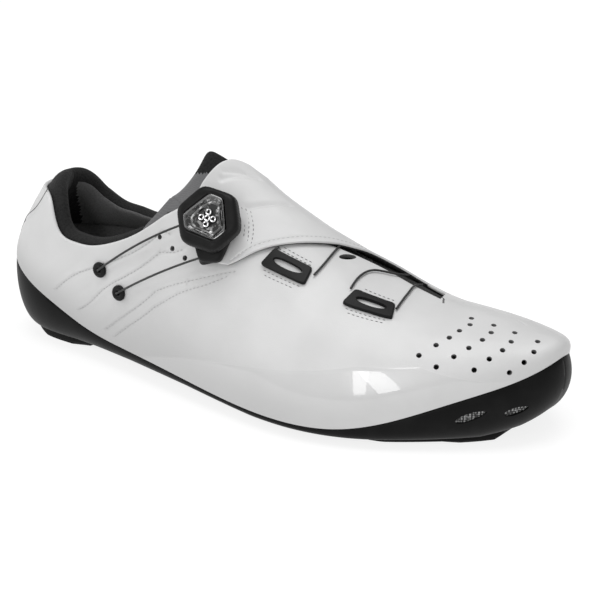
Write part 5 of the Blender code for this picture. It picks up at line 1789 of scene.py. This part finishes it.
@dataclass
class Stitching:
    """Rows of short stitches laid on the form or on the flap."""

    length: float = 0.0012
    pitch: float = 0.0021
    radius: float = 0.00015
    flap_row: float = 0.925
    HEEL_STRIP: ClassVar[Rows] = (
        (0.066, -0.340), (0.064, -0.440), (0.058, -0.510), (0.034, -0.640), (0.030, -0.760), (0.022, -0.950))
    DIAL_ROWS: ClassVar[tuple[Rows, ...]] = (
        ((0.472, -0.233), (0.480, -0.253), (0.488, -0.295), (0.492, -0.341), (0.489, -0.380),
         (0.484, -0.420)),
        ((0.478, -0.222), (0.487, -0.248), (0.495, -0.292), (0.499, -0.338), (0.496, -0.382)),
        ((0.485, -0.212), (0.494, -0.243), (0.502, -0.288), (0.505, -0.330)),
    )

    def row(self, shell: Shell, path: Array, up: Array, look: int = 0) -> None:
        """Stitches as small capsules, evenly along a path: six-sided, five rings, sunk by half.

        Args:
            shell: gathers the faces.
            path: points of the path.
            up: outward direction at each point.
            look: number of the finish.
        """
        length = chords(path)
        middle = np.arange(self.pitch / 2, length[-1], self.pitch)

        def read(values: Array, shift: float = 0.0) -> Array:
            """Values of the path at the stitches, straight between its points."""
            return np.stack([np.interp(middle + shift, length, column) for column in values.T], axis=-1)

        at, rise = read(path), unit(read(up))
        ahead = unit(read(path, 0.0003) - at)
        side = np.cross(rise, ahead)
        along = np.array([-0.5, -0.4, 0.0, 0.4, 0.5]) * self.length
        reach = np.array([0.05, 0.8, 1.0, 0.8, 0.05]) * self.radius
        angle = turns(6)
        points = (at[:, None, None] + ahead[:, None, None] * along[None, :, None, None]
                  + side[:, None, None] * (reach[:, None] * np.cos(angle))[None, :, :, None]
                  + rise[:, None, None] * (reach[:, None] * np.sin(angle))[None, :, :, None])
        faces = grid_faces(5, 6, wrap_columns=True)
        for block in points:
            shell.add(block, faces, look)

    def on_form(self, shell: Shell, rows: Any, height: float = 0.0001, look: int = 0) -> None:
        """A row of stitches through places on the form.

        Args:
            shell: gathers the faces.
            rows: stations and places across.
            height: height over the form.
            look: number of the finish.
        """
        places = through(rows, 80)
        s, g = places[:, 0], places[:, 1]
        self.row(shell, LAST.over(s, g, height), LAST.normal(s, g), look)

    def build(self) -> bpy.types.Object:
        """All rows of stitches as one piece."""
        shell = Shell()
        flap, t = Flap(), np.linspace(0.02, 0.80, 90)
        w = np.full_like(t, self.flap_row)
        self.row(shell, flap.face(t, w), LAST.normal(*flap.place(t, w)))
        for rows in self.DIAL_ROWS:
            self.on_form(shell, rows, 0.0023, 1)
        for seam in Upper.SEAMS:
            self.on_form(shell, np.asarray(seam) + np.array([0.0015, -0.003]), -0.00014)
        heel = through(self.HEEL_STRIP, 50)
        tube(shell, LAST.over(heel[:, 0], heel[:, 1], 0.00002), 0.00022, 6, 1)
        for place, turn in Trim.GUIDES.values():
            for off, span in ((-0.0058, 0.0095), (-0.0076, 0.0080), (0.0060, 0.0085), (0.0078, 0.0070)):
                local = np.linspace((-span, off, 0.0001), (span, off, 0.0001), 20)
                path = LAST.laid(place, turn, local)
                self.row(shell, path, np.broadcast_to(LAST.seat(place)[:3, 2], path.shape), 1)
        looks = [Finish.THREAD.material, Finish.DARK_THREAD.material]
        return placed(shell.build("stitches", looks), "coated_white")


@dataclass
class Studio:
    """Pale floor, soft lights and the photo's camera."""

    azimuth: float = math.radians(32.0)
    elevation: float = math.radians(21.4)
    distance: float = 1.1
    aim: tuple[float, float, float] = (0.0125, 0.0023, 0.0399)
    lens: float = 150.1

    def build(self) -> None:
        """Sets the stage."""
        self.camera()
        self.floor()
        self.light("top_softbox", (0.10, -0.05, 1.35), (0.02, 0.0, 0.05), (1.2, 0.8), 10.8)
        self.light("window_left", (0.140, -0.90, 0.44), (0.07, -0.04, 0.03), (0.090, 0.62), 0.90, 12.0)
        self.light("window_right", (0.240, -0.87, 0.42), (0.07, -0.04, 0.03), (0.090, 0.62), 0.90, 21.0)
        self.light("heel_softbox", (-0.95, -0.55, 0.55), (-0.05, 0.0, 0.05), (0.5, 0.5), 2.6)
        world = bpy.data.worlds.new("studio")
        world.use_nodes = True
        world.node_tree.nodes["Background"].inputs["Color"].default_value = (1.0, 1.0, 1.0, 1.0)
        world.node_tree.nodes["Background"].inputs["Strength"].default_value = 0.45
        bpy.context.scene.world = world
        bpy.context.scene.view_settings.view_transform = "Standard"

    def camera(self) -> None:
        """Camera at the photo's angle, aimed at the shoe's middle."""
        a, e = self.azimuth, self.elevation
        back = np.array([math.sin(a) * math.cos(e), -math.cos(a) * math.cos(e), math.sin(e)])
        data = bpy.data.cameras.new("photo_camera")
        data.lens = self.lens
        data.sensor_width = 36.0
        data.clip_start = 0.01
        camera = bpy.data.objects.new("photo_camera", data)
        camera.location = Vector(np.array(self.aim) + back * self.distance)
        camera.rotation_euler = Vector(back).to_track_quat("Z", "Y").to_euler()
        bpy.context.scene.collection.objects.link(camera)
        bpy.context.scene.camera = camera

    def floor(self) -> None:
        """Wide pale floor just under the pads."""
        shell = Shell()
        x, y = np.meshgrid(np.linspace(-6, 6, 5), np.linspace(-6, 6, 5), indexing="ij")
        shell.add(np.stack([x, y, np.zeros_like(x)], axis=-1), grid_faces(5, 5)[:, ::-1])
        graph = Graph("floor_white")
        look = graph.dress(Base_Color=(0.22, 0.22, 0.22, 1.0), Roughness=0.9,
                           Emission_Color=(1.0, 1.0, 1.0, 1.0), Emission_Strength=0.83)
        floor = shell.build("studio_floor", [look])

    def light(self, name: str, place: tuple[float, float, float], target: tuple[float, float, float],
              size: tuple[float, float], power: float, roll: float = 0.0) -> None:
        """One rectangular softbox aimed at a point.

        Args:
            name: its name.
            place: where it stands.
            target: point that it is aimed at.
            size: its width and height.
            power: its light in watts.
            roll: its turn about its own axis, in degrees.
        """
        data = bpy.data.lights.new(name, "AREA")
        data.shape = "RECTANGLE"
        data.size, data.size_y = size
        data.energy = power
        lamp = bpy.data.objects.new(name, data)
        lamp.location = Vector(place)
        turn = (Vector(place) - Vector(target)).to_track_quat("Z", "Y").to_matrix()
        lamp.rotation_euler = (turn @ Matrix.Rotation(math.radians(roll), 3, "Z")).to_euler()
        bpy.context.scene.collection.objects.link(lamp)


def main() -> None:
    """Builds every sub-assembly."""
    logging.basicConfig(level=logging.INFO, format="%(message)s")
    Upper().build()
    Flap().build()
    Tongue().build()
    CollarPadding().build()
    Sole().build()
    dial = Dial()
    dial.build()
    Trim().build(dial)
    Stitching().build()
    Studio().build()


if __name__ == "__main__":
    main()
